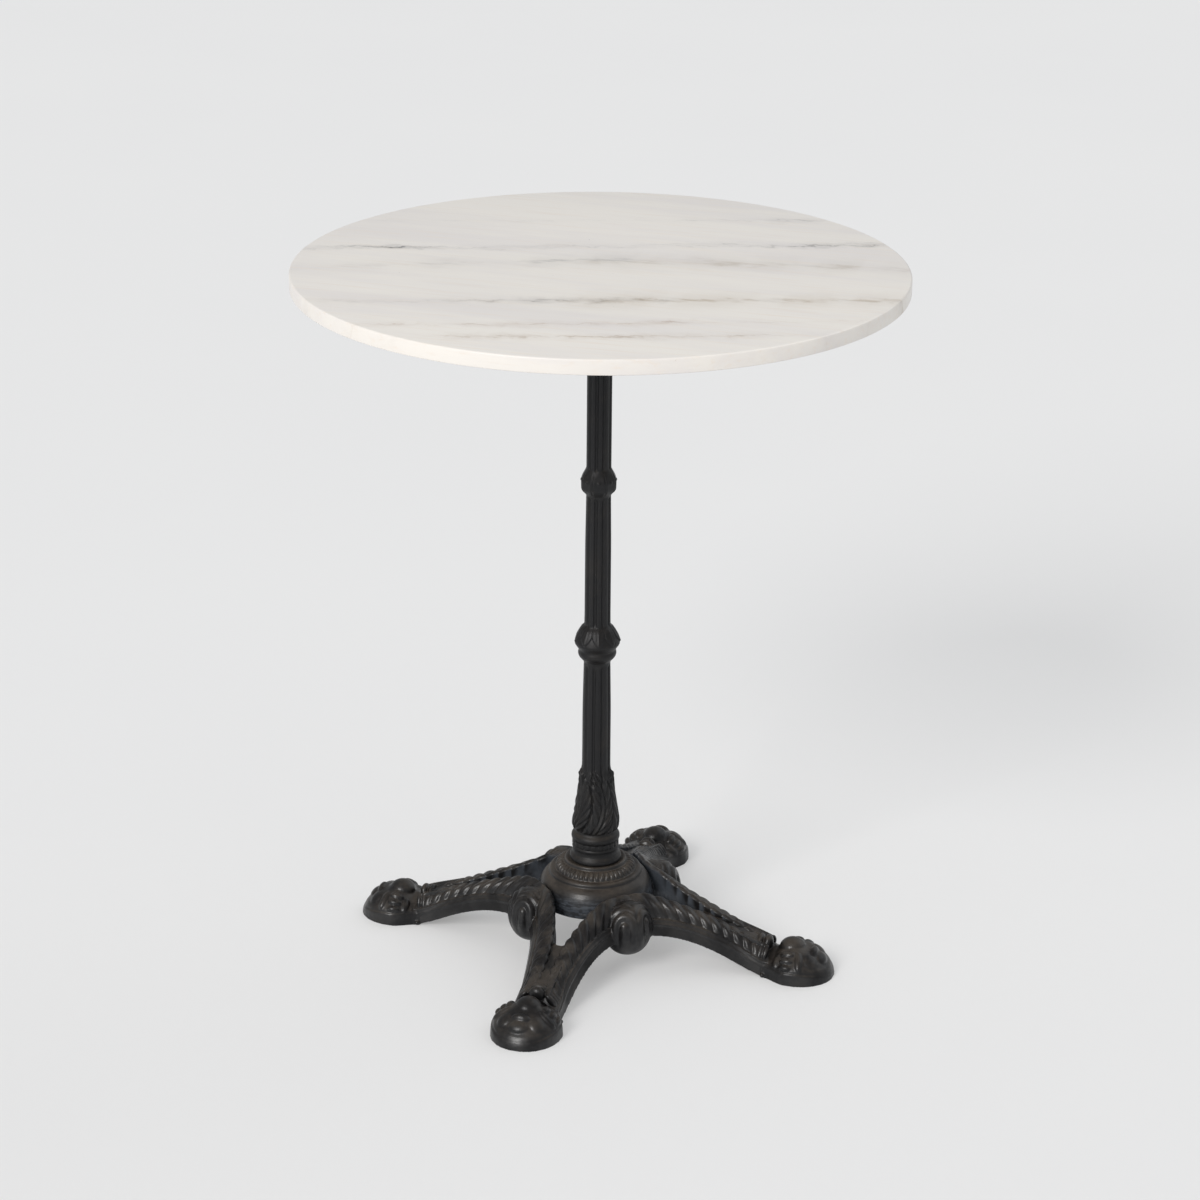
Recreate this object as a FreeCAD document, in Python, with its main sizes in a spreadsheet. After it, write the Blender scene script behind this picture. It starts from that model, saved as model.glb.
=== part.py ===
import FreeCAD, Part
import math
import os
import Sketcher

# Bistro table: a round marble top on a cast spider, a fluted hollow column and a four-footed base,
# clamped together by one through rod.
# Frame: millimetres, +Z up, origin on the floor at the column's axis, feet on the X and Y axes.

doc = FreeCAD.newDocument("BistroTable")
sheet = doc.addObject("Spreadsheet::Sheet", "Sizes")

SIZES = {
    # whole table
    "table_height": 720.0,
    "top_radius": 300.0,
    "top_thickness": 15.0,
    "top_edge_bevel": 1.5,
    "top_under_bevel": 1.0,
    # fixings between the marble and the spider
    "fixing_radius": 130.0,
    "insert_hole_radius": 5.0,
    "insert_hole_depth": 10.0,
    "insert_outer_radius": 4.9,
    "insert_length": 9.5,
    "screw_radius": 2.95,
    "screw_thread_radius": 3.0,
    "screw_reach": 8.0,
    "screw_clear_radius": 3.3,
    "screw_head_corner": 5.77,
    "screw_head_height": 4.0,
    "screw_washer_radius": 6.0,
    "screw_washer_thickness": 1.6,
    "pad_radius": 14.0,
    "pad_hole_radius": 4.0,
    "pad_thickness": 3.0,
    # spider casting
    "spider_arm_reach": 150.0,
    "spider_arm_width": 30.0,
    "spider_tip_start": 108.0,
    "spider_tip_thickness": 8.0,
    "spider_root_depth": 24.0,
    "spider_hub_top_radius": 30.0,
    "spider_hub_low_radius": 24.0,
    "spider_hub_height": 46.0,
    "spider_socket_radius": 18.2,
    "spider_socket_depth": 10.0,
    "spider_web_thickness": 12.0,
    "spider_well_radius": 16.0,
    # column casting
    "column_bore_radius": 7.0,
    "spigot_radius": 15.0,
    "spigot_length": 5.8,
    "plinth_radius": 26.5,
    "shaft_low_radius": 14.6,
    "shaft_mid_radius": 13.0,
    "shaft_high_radius": 12.3,
    "capital_radius": 18.0,
    "capital_height": 16.0,
    "flute_radius": 1.7,
    "flute_inset": 0.3,
    "flute_count": 10,
    # through rod and its M12 hardware
    "rod_radius": 5.9,
    "rod_thread_radius": 6.0,
    "rod_clear_radius": 6.6,
    "rod_low_end": 56.0,
    "rod_high_end": 698.0,
    "nut_corner": 10.97,
    "nut_height": 10.0,
    "rod_washer_radius": 12.0,
    "rod_washer_thickness": 2.5,
    "spring_washer_radius": 10.4,
    "spring_washer_thickness": 3.0,
    "clamp_plate_radius": 22.0,
    "clamp_plate_thickness": 5.0,
    # base casting: the bell-shaped hub
    "bell_top": 96.0,
    "bell_crown_radius": 31.0,
    "bell_crown_thickness": 16.0,
    "bell_torus_radius": 45.0,
    "bell_torus_height": 82.0,
    "bell_shoulder_radius": 58.5,
    "bell_shoulder_height": 64.0,
    "bell_rim_radius": 59.5,
    "bell_rim_height": 53.0,
    "bell_wall": 7.0,
    "seat_radius": 15.2,
    "seat_depth": 6.2,
    # base casting: arches, each a rectangular hyperbola in plan, from foot to foot
    "arch_outer_centre": 12.0,
    "arch_outer_vertex": 59.0,
    "arch_inner_centre": -21.0,
    "arch_inner_vertex": 39.5,
    "arch_stretch": 3.9,
    "arch_channel_stretch": 3.0,
    "arch_sections": 12,
    "arch_underside_height": 39.0,
    "arch_underside_start": 64.0,
    "arch_underside_end": 177.5,
    "arch_underside_least": 1.0,
    "arch_fascia_height": 12.5,
    "arch_fascia_draft": 0.3,
    "arch_crest_share": 0.81,
    "arch_crest_height": 77.0,
    "arch_crest_start": 58.0,
    "arch_crest_slope": 0.37,
    "arch_wall": 6.0,
    # base casting: web between two arms, paw and console
    "web_start": 108.0,
    "web_end": 172.0,
    "web_start_height": 48.0,
    "web_end_height": 25.0,
    "web_thickness": 7.0,
    "web_half_width": 11.0,
    "paw_centre": 215.0,
    "paw_half_length": 40.0,
    "paw_half_width": 36.0,
    "paw_height": 40.0,
    "paw_wall": 8.0,
    "sole_height": 3.0,
    "console_centre": 78.0,
    "console_height": 50.0,
    "console_reach": 17.0,
    "console_half_width": 25.0,
    "console_half_height": 22.0,
}

# Mouldings of the column from its foot to its collar: name, radius, height above the floor.
MOULDINGS = [
    ("plinth_edge", 26.5, 99.0),
    ("plinth_neck", 25.0, 103.0),
    ("bead_band_low", 23.6, 104.5),
    ("bead_band_high", 23.6, 110.5),
    ("foot_ring_low", 24.4, 114.0),
    ("foot_ring_high", 24.4, 123.0),
    ("sheath_neck", 21.0, 129.0),
    ("sheath_belly", 23.4, 138.0),
    ("sheath_middle", 20.0, 160.0),
    ("sheath_waist", 17.8, 178.0),
    ("sheath_lip", 17.5, 193.0),
    ("low_shaft_start", 14.6, 197.0),
    ("low_shaft_end", 13.5, 311.0),
    ("knop_ring_low", 17.2, 317.5),
    ("knop_ring_high", 19.2, 325.0),
    ("knop_belly", 23.0, 333.5),
    ("knop_shoulder", 19.6, 343.5),
    ("mid_shaft_start", 13.2, 353.0),
    ("mid_shaft_end", 12.4, 489.0),
    ("collar_low", 17.4, 495.5),
    ("collar_high", 17.6, 509.5),
    ("high_shaft_start", 12.3, 517.0),
]
for moulding, radius, height in MOULDINGS:
    SIZES[moulding + "_radius"] = radius
    SIZES[moulding + "_height"] = height

for row, (alias, value) in enumerate(SIZES.items(), start=1):
    sheet.set(f"A{row}", alias)
    sheet.set(f"B{row}", str(value))
    sheet.setAlias(f"B{row}", alias)

# Heights that several pieces share.
DERIVED = {
    "top_underside": "=table_height - top_thickness",
    "spider_top": "=top_underside - pad_thickness",
    "spider_bottom": "=spider_top - spider_hub_height",
    "column_top": "=spider_bottom + spider_socket_depth",
    "capital_base": "=column_top - capital_height",
    "spigot_bottom": "=bell_top - spigot_length",
    "well_floor": "=column_top + spider_web_thickness",
    "crown_underside": "=bell_top - bell_crown_thickness",
    "seat_floor": "=bell_top - seat_depth",
    "tip_underside": "=spider_top - spider_tip_thickness",
}
for row, (alias, formula) in enumerate(DERIVED.items(), start=len(SIZES) + 1):
    sheet.set(f"A{row}", alias)
    sheet.set(f"B{row}", formula)
    sheet.setAlias(f"B{row}", alias)
doc.recompute()


def size(alias):
    """The value of one cell of the sheet, in millimetres."""
    return float(sheet.get(alias))


def bind(item, **properties):
    """Bind properties of an object to expressions on the sheet's aliases."""
    for name, expression in properties.items():
        item.setExpression(name, expression)


def place(item, east="0", north="0", up="0"):
    """Bind the position of an object to expressions, in millimetres."""
    item.setExpression("Placement.Base.x", east)
    item.setExpression("Placement.Base.y", north)
    item.setExpression("Placement.Base.z", up)


# Part primitives and booleans ---------------------------------------------------------------


def cylinder(name, radius, height, **where):
    """A cylinder with its radius, height and position bound to the sheet."""
    item = doc.addObject("Part::Cylinder", name)
    bind(item, Radius=radius, Height=height)
    place(item, **where)
    return item


def hexagon(name, corner, height, **where):
    """A hexagonal prism with its corner radius, height and position bound to the sheet."""
    item = doc.addObject("Part::Prism", name)
    item.Polygon = 6
    bind(item, Circumradius=corner, Height=height)
    place(item, **where)
    return item


def ellipsoid(name, turn, **radii):
    """A whole ellipsoid with its radii bound to the sheet, turned about the column's axis."""
    item = doc.addObject("Part::Ellipsoid", name)
    bind(item, **radii)
    item.Placement.Rotation = FreeCAD.Rotation(FreeCAD.Vector(0, 0, 1), turn)
    return item


def cut(label, base, tool):
    """The first object less the second."""
    item = doc.addObject("Part::Cut", label)
    item.Base = base
    item.Tool = tool
    item.Label = label
    return item


def fuse(label, pieces):
    """The union of several objects."""
    item = doc.addObject("Part::MultiFuse", label)
    item.Shapes = pieces
    item.Label = label
    return item


def group(label, pieces):
    """Several separate solids in one node."""
    item = doc.addObject("Part::Compound", label)
    item.Links = pieces
    item.Label = label
    return item


def around(index):
    """Expressions for the place of fixing number index, on the fixing circle."""
    turn = 90 * index
    return {"east": f"Sizes.fixing_radius * cos({turn})", "north": f"Sizes.fixing_radius * sin({turn})"}


def ring(label, outer, inner, height, **where):
    """A washer: a cylinder with a hole through it."""
    disc = cylinder(label + "_disc", outer, height, **where)
    hole = cylinder(label + "_hole", inner, height, **where)
    return cut(label, disc, hole)


# PartDesign bodies --------------------------------------------------------------------------


def new_body(label):
    """A PartDesign body whose label names its node."""
    item = doc.addObject("PartDesign::Body", label)
    item.Label = label
    return item


def sketch_on(body, name, role):
    """A sketch attached to one origin plane of its own body."""
    plane = next(part for part in body.Origin.OriginFeatures if part.Role == role)
    sketch = body.newObject("Sketcher::SketchObject", name)
    sketch.AttachmentSupport = (plane, [""])
    sketch.MapMode = "FlatFace"
    return sketch


def hold(sketch, edge, point, kind, expression):
    """Tie one coordinate of a point to an expression, or to the axis where it is zero."""
    value = float(sketch.evalExpression(expression))
    if abs(value) < 1e-9:
        axis = -2 if kind == "DistanceX" else -1
        sketch.addConstraint(Sketcher.Constraint("PointOnObject", edge, point, axis))
        return
    number = sketch.addConstraint(Sketcher.Constraint(kind, -1, 1, edge, point, value))
    sketch.setExpression(f"Constraints[{number}]", expression)


def outline(sketch, corners):
    """A closed outline of straight lines through corners, each a pair of expressions."""
    points = []
    for across, up in corners:
        x = float(sketch.evalExpression(across))
        y = float(sketch.evalExpression(up))
        points.append(FreeCAD.Vector(x, y, 0))
    count = len(points)
    for index in range(count):
        sketch.addGeometry(Part.LineSegment(points[index], points[(index + 1) % count]), False)
    for index in range(count):
        sketch.addConstraint(Sketcher.Constraint("Coincident", index, 2, (index + 1) % count, 1))
    for index, (across, up) in enumerate(corners):
        hold(sketch, index, 1, "DistanceX", across)
        hold(sketch, index, 1, "DistanceY", up)


def circle(sketch, radius, across, up="0"):
    """A circle whose radius and centre are expressions."""
    x = float(sketch.evalExpression(across))
    y = float(sketch.evalExpression(up))
    value = float(sketch.evalExpression(radius))
    edge = sketch.addGeometry(Part.Circle(FreeCAD.Vector(x, y, 0), FreeCAD.Vector(0, 0, 1), value), False)
    number = sketch.addConstraint(Sketcher.Constraint("Radius", edge, value))
    sketch.setExpression(f"Constraints[{number}]", radius)
    hold(sketch, edge, 3, "DistanceX", across)
    hold(sketch, edge, 3, "DistanceY", up)


def revolve(body, name, corners):
    """A solid of revolution about the column's axis, from a half section in the XZ plane."""
    sketch = sketch_on(body, name + "_section", "XZ_Plane")
    outline(sketch, corners)
    solid = body.newObject("PartDesign::Revolution", name)
    solid.Profile = sketch
    solid.ReferenceAxis = (sketch, ["V_Axis"])
    solid.Angle = 360.0
    doc.recompute()
    return solid


def pattern(body, name, feature, axis, count):
    """Repeat one feature evenly about the column's axis."""
    item = body.newObject("PartDesign::PolarPattern", name)
    item.Originals = [feature]
    item.Axis = axis
    item.Angle = 360.0
    item.Occurrences = count
    body.Tip = item
    doc.recompute()
    return item


def expect_less(body, before, what):
    """Stop if a cutting feature removed nothing."""
    if body.Shape.Volume >= before - 1.0:
        raise RuntimeError(f"{what} cut nothing")


def S(alias):
    """The sheet's cell in an expression."""
    return "Sizes." + alias


# Marble top ---------------------------------------------------------------------------------


def make_marble_top():
    """A disc with eased edges and four blind holes under it for the inserts."""
    body = new_body("marble_top")
    revolve(body, "slab", [
        ("0", S("top_underside")),
        (S("top_radius") + " - " + S("top_under_bevel"), S("top_underside")),
        (S("top_radius"), S("top_underside") + " + " + S("top_under_bevel")),
        (S("top_radius"), S("table_height") + " - " + S("top_edge_bevel")),
        (S("top_radius") + " - " + S("top_edge_bevel"), S("table_height")),
        ("0", S("table_height")),
    ])
    before = body.Shape.Volume
    sketch = sketch_on(body, "insert_hole_outline", "XY_Plane")
    sketch.setExpression("AttachmentOffset.Base.z", S("top_underside"))
    circle(sketch, S("insert_hole_radius"), S("fixing_radius"))
    doc.recompute()
    pocket = body.newObject("PartDesign::Pocket", "insert_hole")
    pocket.Profile = sketch
    pocket.Reversed = True
    pocket.setExpression("Length", S("insert_hole_depth"))
    doc.recompute()
    expect_less(body, before, "insert_hole")
    pattern(body, "insert_holes", pocket, (sketch, ["N_Axis"]), 4)
    return body


# Fixings under the top ----------------------------------------------------------------------


def make_inserts():
    """Four threaded brass sleeves glued into the marble."""
    return group("top_inserts", [
        ring(f"insert_{index}", S("insert_outer_radius"), S("screw_thread_radius"), S("insert_length"),
             up=S("top_underside"), **around(index))
        for index in range(4)
    ])


def make_pads():
    """Four rubber pads between the spider's arms and the marble."""
    return group("spider_pads", [
        ring(f"pad_{index}", S("pad_radius"), S("pad_hole_radius"), S("pad_thickness"),
             up=S("spider_top"), **around(index))
        for index in range(4)
    ])


def make_screw_washers():
    """Four flat washers under the screw heads."""
    return group("spider_washers", [
        ring(f"screw_washer_{index}", S("screw_washer_radius"), S("screw_clear_radius"),
             S("screw_washer_thickness"),
             up=S("tip_underside") + " - " + S("screw_washer_thickness"), **around(index))
        for index in range(4)
    ])


def make_screws():
    """Four hexagon-head screws that go up through the spider into the inserts."""
    seat = f"({S('tip_underside')} - {S('screw_washer_thickness')})"
    screws = []
    for index in range(4):
        head = hexagon(f"screw_head_{index}", S("screw_head_corner"), S("screw_head_height"),
                       up=f"{seat} - {S('screw_head_height')}", **around(index))
        shank = cylinder(f"screw_shank_{index}", S("screw_radius"),
                         f"{S('top_underside')} + {S('screw_reach')} - {seat}",
                         up=seat, **around(index))
        screws.append(fuse(f"screw_{index}", [head, shank]))
    return group("spider_screws", screws)


# Spider casting -----------------------------------------------------------------------------


def make_spider():
    """A hub with a socket for the column, a well for the nut and four tapered arms."""
    body = new_body("top_spider")
    revolve(body, "hub", [
        (S("spider_socket_radius"), S("spider_bottom")),
        (S("spider_hub_low_radius"), S("spider_bottom")),
        (S("spider_hub_top_radius"), S("spider_top") + " - " + S("spider_root_depth")),
        (S("spider_hub_top_radius"), S("spider_top")),
        (S("spider_well_radius"), S("spider_top")),
        (S("spider_well_radius"), S("well_floor")),
        (S("rod_clear_radius"), S("well_floor")),
        (S("rod_clear_radius"), S("column_top")),
        (S("spider_socket_radius"), S("column_top")),
    ])
    side = sketch_on(body, "arm_side", "XZ_Plane")
    root = S("spider_well_radius") + " + 5"
    outline(side, [
        (root, S("spider_top") + " - " + S("spider_root_depth")),
        (S("spider_tip_start"), S("tip_underside")),
        (S("spider_arm_reach"), S("tip_underside")),
        (S("spider_arm_reach"), S("spider_top")),
        (root, S("spider_top")),
    ])
    doc.recompute()
    arm = body.newObject("PartDesign::Pad", "arm")
    arm.Profile = side
    arm.SideType = "Symmetric"
    arm.setExpression("Length", S("spider_arm_width"))
    doc.recompute()
    pattern(body, "arms", arm, (side, ["V_Axis"]), 4)
    before = body.Shape.Volume
    hole_plan = sketch_on(body, "screw_hole_outline", "XY_Plane")
    hole_plan.setExpression("AttachmentOffset.Base.z", S("spider_top"))
    circle(hole_plan, S("screw_clear_radius"), S("fixing_radius"))
    doc.recompute()
    hole = body.newObject("PartDesign::Pocket", "screw_hole")
    hole.Profile = hole_plan
    hole.setExpression("Length", S("spider_tip_thickness") + " + 4")
    doc.recompute()
    expect_less(body, before, "screw_hole")
    pattern(body, "screw_holes", hole, (hole_plan, ["N_Axis"]), 4)
    return body


# Column casting -----------------------------------------------------------------------------


def make_column():
    """A hollow turned column with a spigot below, a plain capital above and ten flutes."""
    body = new_body("column")
    corners = [
        (S("column_bore_radius"), S("spigot_bottom")),
        (S("spigot_radius"), S("spigot_bottom")),
        (S("spigot_radius"), S("bell_top")),
        (S("plinth_radius"), S("bell_top")),
    ]
    corners += [(S(name + "_radius"), S(name + "_height")) for name, _, _ in MOULDINGS]
    corners += [
        (S("shaft_high_radius"), S("capital_base") + " - 10"),
        (S("capital_radius"), S("capital_base")),
        (S("capital_radius"), S("column_top")),
        (S("column_bore_radius"), S("column_top")),
    ]
    revolve(body, "turned_column", corners)
    stretches = [
        ("low", "low_shaft_start_height", "low_shaft_end_height", "shaft_low_radius"),
        ("mid", "mid_shaft_start_height", "mid_shaft_end_height", "shaft_mid_radius"),
        ("high", "high_shaft_start_height", "capital_base", "shaft_high_radius"),
    ]
    for name, start, end, radius in stretches:
        before = body.Shape.Volume
        plan = sketch_on(body, name + "_flute_outline", "XY_Plane")
        plan.setExpression("AttachmentOffset.Base.z", S(start) + " + 4")
        circle(plan, S("flute_radius"), S(radius) + " + " + S("flute_inset"))
        doc.recompute()
        flute = body.newObject("PartDesign::Pocket", name + "_flute")
        flute.Profile = plan
        flute.Reversed = True
        flute.setExpression("Length", f"{S(end)} - {S(start)} - 16")
        doc.recompute()
        expect_less(body, before, name + "_flute")
        pattern(body, name + "_flutes", flute, (plan, ["N_Axis"]), int(size("flute_count")))
    return body


# Through rod and its hardware ---------------------------------------------------------------


def make_rod():
    """The tie rod from under the hub to the spider's well."""
    rod = cylinder("tie_rod", S("rod_radius"), S("rod_high_end") + " - " + S("rod_low_end"),
                   up=S("rod_low_end"))
    rod.Label = "tie_rod"
    return rod


def make_nut(label, up):
    """A hexagon nut on the rod."""
    prism = hexagon(label + "_prism", S("nut_corner"), S("nut_height"), up=up)
    bore = cylinder(label + "_bore", S("rod_thread_radius"), S("nut_height"), up=up)
    return cut(label, prism, bore)


def make_rod_hardware():
    """Washers and nuts: two washers and a nut in the spider's well, and three pieces under the hub."""
    lock = S("spring_washer_thickness")
    above = f"{S('well_floor')} + {S('rod_washer_thickness')}"
    below = f"{S('crown_underside')} - {S('clamp_plate_thickness')}"
    return [
        ring("rod_top_washer", S("rod_washer_radius"), S("rod_clear_radius"), S("rod_washer_thickness"),
             up=S("well_floor")),
        ring("rod_top_spring_washer", S("spring_washer_radius"), S("rod_clear_radius"), lock, up=above),
        make_nut("rod_top_nut", f"{above} + {lock}"),
        ring("rod_bottom_plate", S("clamp_plate_radius"), S("rod_clear_radius"),
             S("clamp_plate_thickness"), up=below),
        ring("rod_bottom_spring_washer", S("spring_washer_radius"), S("rod_clear_radius"), lock,
             up=f"{below} - {lock}"),
        make_nut("rod_bottom_nut", f"{below} - {lock} - {S('nut_height')}"),
    ]


# Base casting -------------------------------------------------------------------------------


def make_bell():
    """The bell-shaped hub, solid: its core is cut out later."""
    body = new_body("bell_outside")
    revolve(body, "bell_form", [
        ("0", S("bell_rim_height")),
        (S("bell_rim_radius"), S("bell_rim_height")),
        (S("bell_shoulder_radius"), S("bell_shoulder_height")),
        (S("bell_shoulder_radius") + " - 4", S("bell_shoulder_height") + " + 9"),
        (S("bell_torus_radius") + " + 2.5", S("bell_torus_height") + " - 2.5"),
        (S("bell_torus_radius") + " + 2.5", S("bell_torus_height") + " + 1.5"),
        (S("bell_torus_radius") + " - 4", S("bell_torus_height") + " + 4"),
        (S("bell_crown_radius"), S("bell_top") + " - 3"),
        (S("bell_crown_radius") + " - 1", S("bell_top")),
        ("0", S("bell_top")),
    ])
    return body


def make_bell_core():
    """The hollow under the hub, the hole for the rod and the seat for the column's spigot."""
    body = new_body("bell_core")
    inner = S("bell_rim_radius") + " - " + S("bell_wall")
    revolve(body, "bell_hollow", [
        ("0", "1"),
        (inner, "1"),
        (inner, S("bell_shoulder_height")),
        (S("bell_torus_radius") + " - 5", S("crown_underside") + " - 3"),
        (S("clamp_plate_radius") + " + 3", S("crown_underside")),
        (S("rod_clear_radius"), S("crown_underside")),
        (S("rod_clear_radius"), S("seat_floor")),
        (S("seat_radius"), S("seat_floor")),
        (S("seat_radius"), S("bell_top") + " + 1"),
        ("0", S("bell_top") + " + 1"),
    ])
    return body


def hyperbola(centre, vertex, stretch):
    """A point of the rectangular hyperbola (x - centre)(y - centre) = (vertex - centre)^2."""
    span = vertex - centre
    return centre + span * stretch, centre + span / stretch


def underside(along):
    """Height of an arm's lower edge: flat beside the hub, then a parabola down to the floor."""
    start = size("arch_underside_start")
    fall = max(along - start, 0.0) / (size("arch_underside_end") - start)
    return max(size("arch_underside_height") * (1.0 - fall ** 2), size("arch_underside_least"))


def crest(along):
    """Height of an arm's crest: flat beside the hub, then a straight fall to the ankle."""
    return size("arch_crest_height") - size("arch_crest_slope") * max(along - size("arch_crest_start"), 0.0)


def arch_section(stretch, channel):
    """One upright cross-section of an arch as a closed wire: the outside, or the channel under it."""
    outer = hyperbola(size("arch_outer_centre"), size("arch_outer_vertex"), stretch)
    inner = hyperbola(size("arch_inner_centre"), size("arch_inner_vertex"), stretch)
    low = underside(max(outer))
    high = crest(max(inner))
    fascia = low + size("arch_fascia_height")
    draft = size("arch_fascia_draft")
    if channel:
        wall = size("arch_wall") / math.dist(outer, inner)
        corners = [
            (wall, low - 6.0),
            (wall + 0.5 * draft, fascia - size("arch_wall")),
            (size("arch_crest_share") - wall, high - 1.4 * size("arch_wall")),
            (1.0 - wall, low - 6.0),
        ]
    else:
        corners = [
            (0.0, low),
            (draft, fascia),
            (size("arch_crest_share"), high),
            (1.0, low),
        ]
    points = []
    for share, height in corners:
        points.append(FreeCAD.Vector(outer[0] + share * (inner[0] - outer[0]),
                                     outer[1] + share * (inner[1] - outer[1]), height))
    return Part.makePolygon(points + points[:1])


def quarter(index):
    """The placement that turns a piece by a number of quarter turns about the column's axis."""
    return FreeCAD.Placement(FreeCAD.Vector(), FreeCAD.Rotation(FreeCAD.Vector(0, 0, 1), 90 * index))


def make_arch(index, channel):
    """One arch from the foot on +X to the foot on +Y, lofted, then turned to its quarter."""
    reach = size("arch_channel_stretch") if channel else size("arch_stretch")
    steps = int(size("arch_sections"))
    sections = [arch_section(reach ** (step / steps), channel) for step in range(-steps, steps + 1)]
    name = "arch_channel" if channel else "arch"
    item = doc.addObject("Part::Feature", f"{name}_{index}")
    item.Shape = Part.makeLoft(sections, True, True)
    item.Placement = quarter(index)
    return item


def make_web(index):
    """The sloping web that joins the two arms of a foot between the gap and the ankle."""
    item = doc.addObject("Part::Feature", f"web_{index}")
    near = FreeCAD.Vector(size("web_start"), -size("web_half_width"), size("web_start_height"))
    far = FreeCAD.Vector(size("web_end"), -size("web_half_width"), size("web_end_height"))
    drop = FreeCAD.Vector(0, 0, -size("web_thickness"))
    face = Part.Face(Part.makePolygon([near, far, far + drop, near + drop, near]))
    item.Shape = face.extrude(FreeCAD.Vector(0, 2 * size("web_half_width"), 0))
    item.Placement = quarter(index)
    return item


def paw_form(name, index, less):
    """Half an ellipsoid on a thin upright sole at a foot, smaller all round by a wall."""
    length = S("paw_half_length") + less
    width = S("paw_half_width") + less
    east = f"{S('paw_centre')} * cos({90 * index})"
    north = f"{S('paw_centre')} * sin({90 * index})"
    dome = ellipsoid(name + "_dome", 90 * index, Radius1=S("paw_height") + less + " - " + S("sole_height"),
                     Radius2=length, Radius3=width)
    dome.Angle1 = 0
    dome.Angle2 = 90
    place(dome, east=east, north=north, up=S("sole_height"))
    edge = doc.addObject("Part::Ellipse", name + "_edge")
    bind(edge, MajorRadius=length, MinorRadius=width)
    edge.Placement.Rotation = FreeCAD.Rotation(FreeCAD.Vector(0, 0, 1), 90 * index)
    place(edge, east=east, north=north)
    sole = doc.addObject("Part::Extrusion", name + "_sole")
    sole.Base = edge
    sole.Dir = FreeCAD.Vector(0, 0, 1)
    sole.Solid = True
    bind(sole, LengthFwd=S("sole_height"))
    return fuse(name, [dome, sole])


def make_paw(index):
    """A hollow paw with a flat rim to stand on."""
    outside = paw_form(f"paw_outside_{index}", index, "")
    inside = paw_form(f"paw_inside_{index}", index, f" - {S('paw_wall')}")
    return cut(f"paw_{index}", outside, inside)


def make_console(index):
    """The lobe that hangs from the middle of an arch."""
    turn = 45 + 90 * index
    item = ellipsoid(f"console_{index}", turn, Radius1=S("console_half_height"),
                     Radius2=S("console_reach"), Radius3=S("console_half_width"))
    place(item, east=f"{S('console_centre')} * cos({turn})", north=f"{S('console_centre')} * sin({turn})",
          up=S("console_height"))
    return item


def make_base():
    """One hollow casting: hub, four arches and webs less their core, with consoles and paws."""
    outside = [make_bell()]
    core = [make_bell_core()]
    solid = []
    for index in range(4):
        outside += [make_arch(index, False), make_web(index)]
        core += [make_arch(index, True), paw_form(f"paw_core_{index}", index, f" - {S('paw_wall')}")]
        solid += [make_paw(index), make_console(index)]
    hollow = cut("base_hollow", fuse("base_outside", outside), fuse("base_core", core))
    return fuse("base_casting", [hollow] + solid)


nodes = [
    make_marble_top(),
    make_inserts(),
    make_pads(),
    make_screws(),
    make_screw_washers(),
    make_spider(),
    make_column(),
    make_rod(),
    *make_rod_hardware(),
    make_base(),
]
doc.recompute()

for item in doc.Objects:
    if "Invalid" in item.State or "Error" in item.State:
        raise RuntimeError(f"{item.Label} failed: {item.State}")
for node in nodes:
    if node.Shape.isNull() or not node.Shape.isValid():
        raise RuntimeError(f"{node.Label} has no valid shape")

os.makedirs("parts", exist_ok=True)
for node in nodes:
    node.Shape.exportStep(f"parts/{node.Label}.step")
    print(f"{node.Label}: {len(node.Shape.Solids)} solid(s), {node.Shape.Volume / 1000.0:.1f} cm3")
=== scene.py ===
"""Looks of the bistro table: marble slab, fluted column and ornamented base around the CAD frame."""
import logging
import math
from dataclasses import dataclass, field
from enum import Enum
from typing import Iterable, Sequence, Union

import bmesh
import bpy
import numpy as np
from mathutils import Matrix, Vector


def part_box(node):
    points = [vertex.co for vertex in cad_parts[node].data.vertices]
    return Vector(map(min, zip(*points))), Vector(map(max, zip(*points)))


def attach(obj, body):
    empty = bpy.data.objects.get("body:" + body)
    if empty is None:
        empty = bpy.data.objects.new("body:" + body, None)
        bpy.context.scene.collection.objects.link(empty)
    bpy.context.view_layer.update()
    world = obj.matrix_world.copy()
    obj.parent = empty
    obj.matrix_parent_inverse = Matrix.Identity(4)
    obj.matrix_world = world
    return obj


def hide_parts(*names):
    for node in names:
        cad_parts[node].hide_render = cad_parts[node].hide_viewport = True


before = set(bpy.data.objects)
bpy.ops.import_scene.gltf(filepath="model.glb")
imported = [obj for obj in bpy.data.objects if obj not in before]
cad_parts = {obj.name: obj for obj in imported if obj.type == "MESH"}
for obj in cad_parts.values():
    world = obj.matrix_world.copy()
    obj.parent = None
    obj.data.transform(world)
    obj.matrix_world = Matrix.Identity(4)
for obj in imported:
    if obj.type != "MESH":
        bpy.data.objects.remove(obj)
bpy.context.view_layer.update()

MM = 0.001
BODY = "root"
FRONT_TURN = 17.7  # degrees from the -Y axis to the side of the table that faces the camera
log = logging.getLogger("bistro_table")


# Meshes -------------------------------------------------------------------------------------


class Cap(Enum):
    """How the first and last rows of a patch are closed."""

    NONE = "none"
    FAN = "fan"
    STRIP = "strip"


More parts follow.
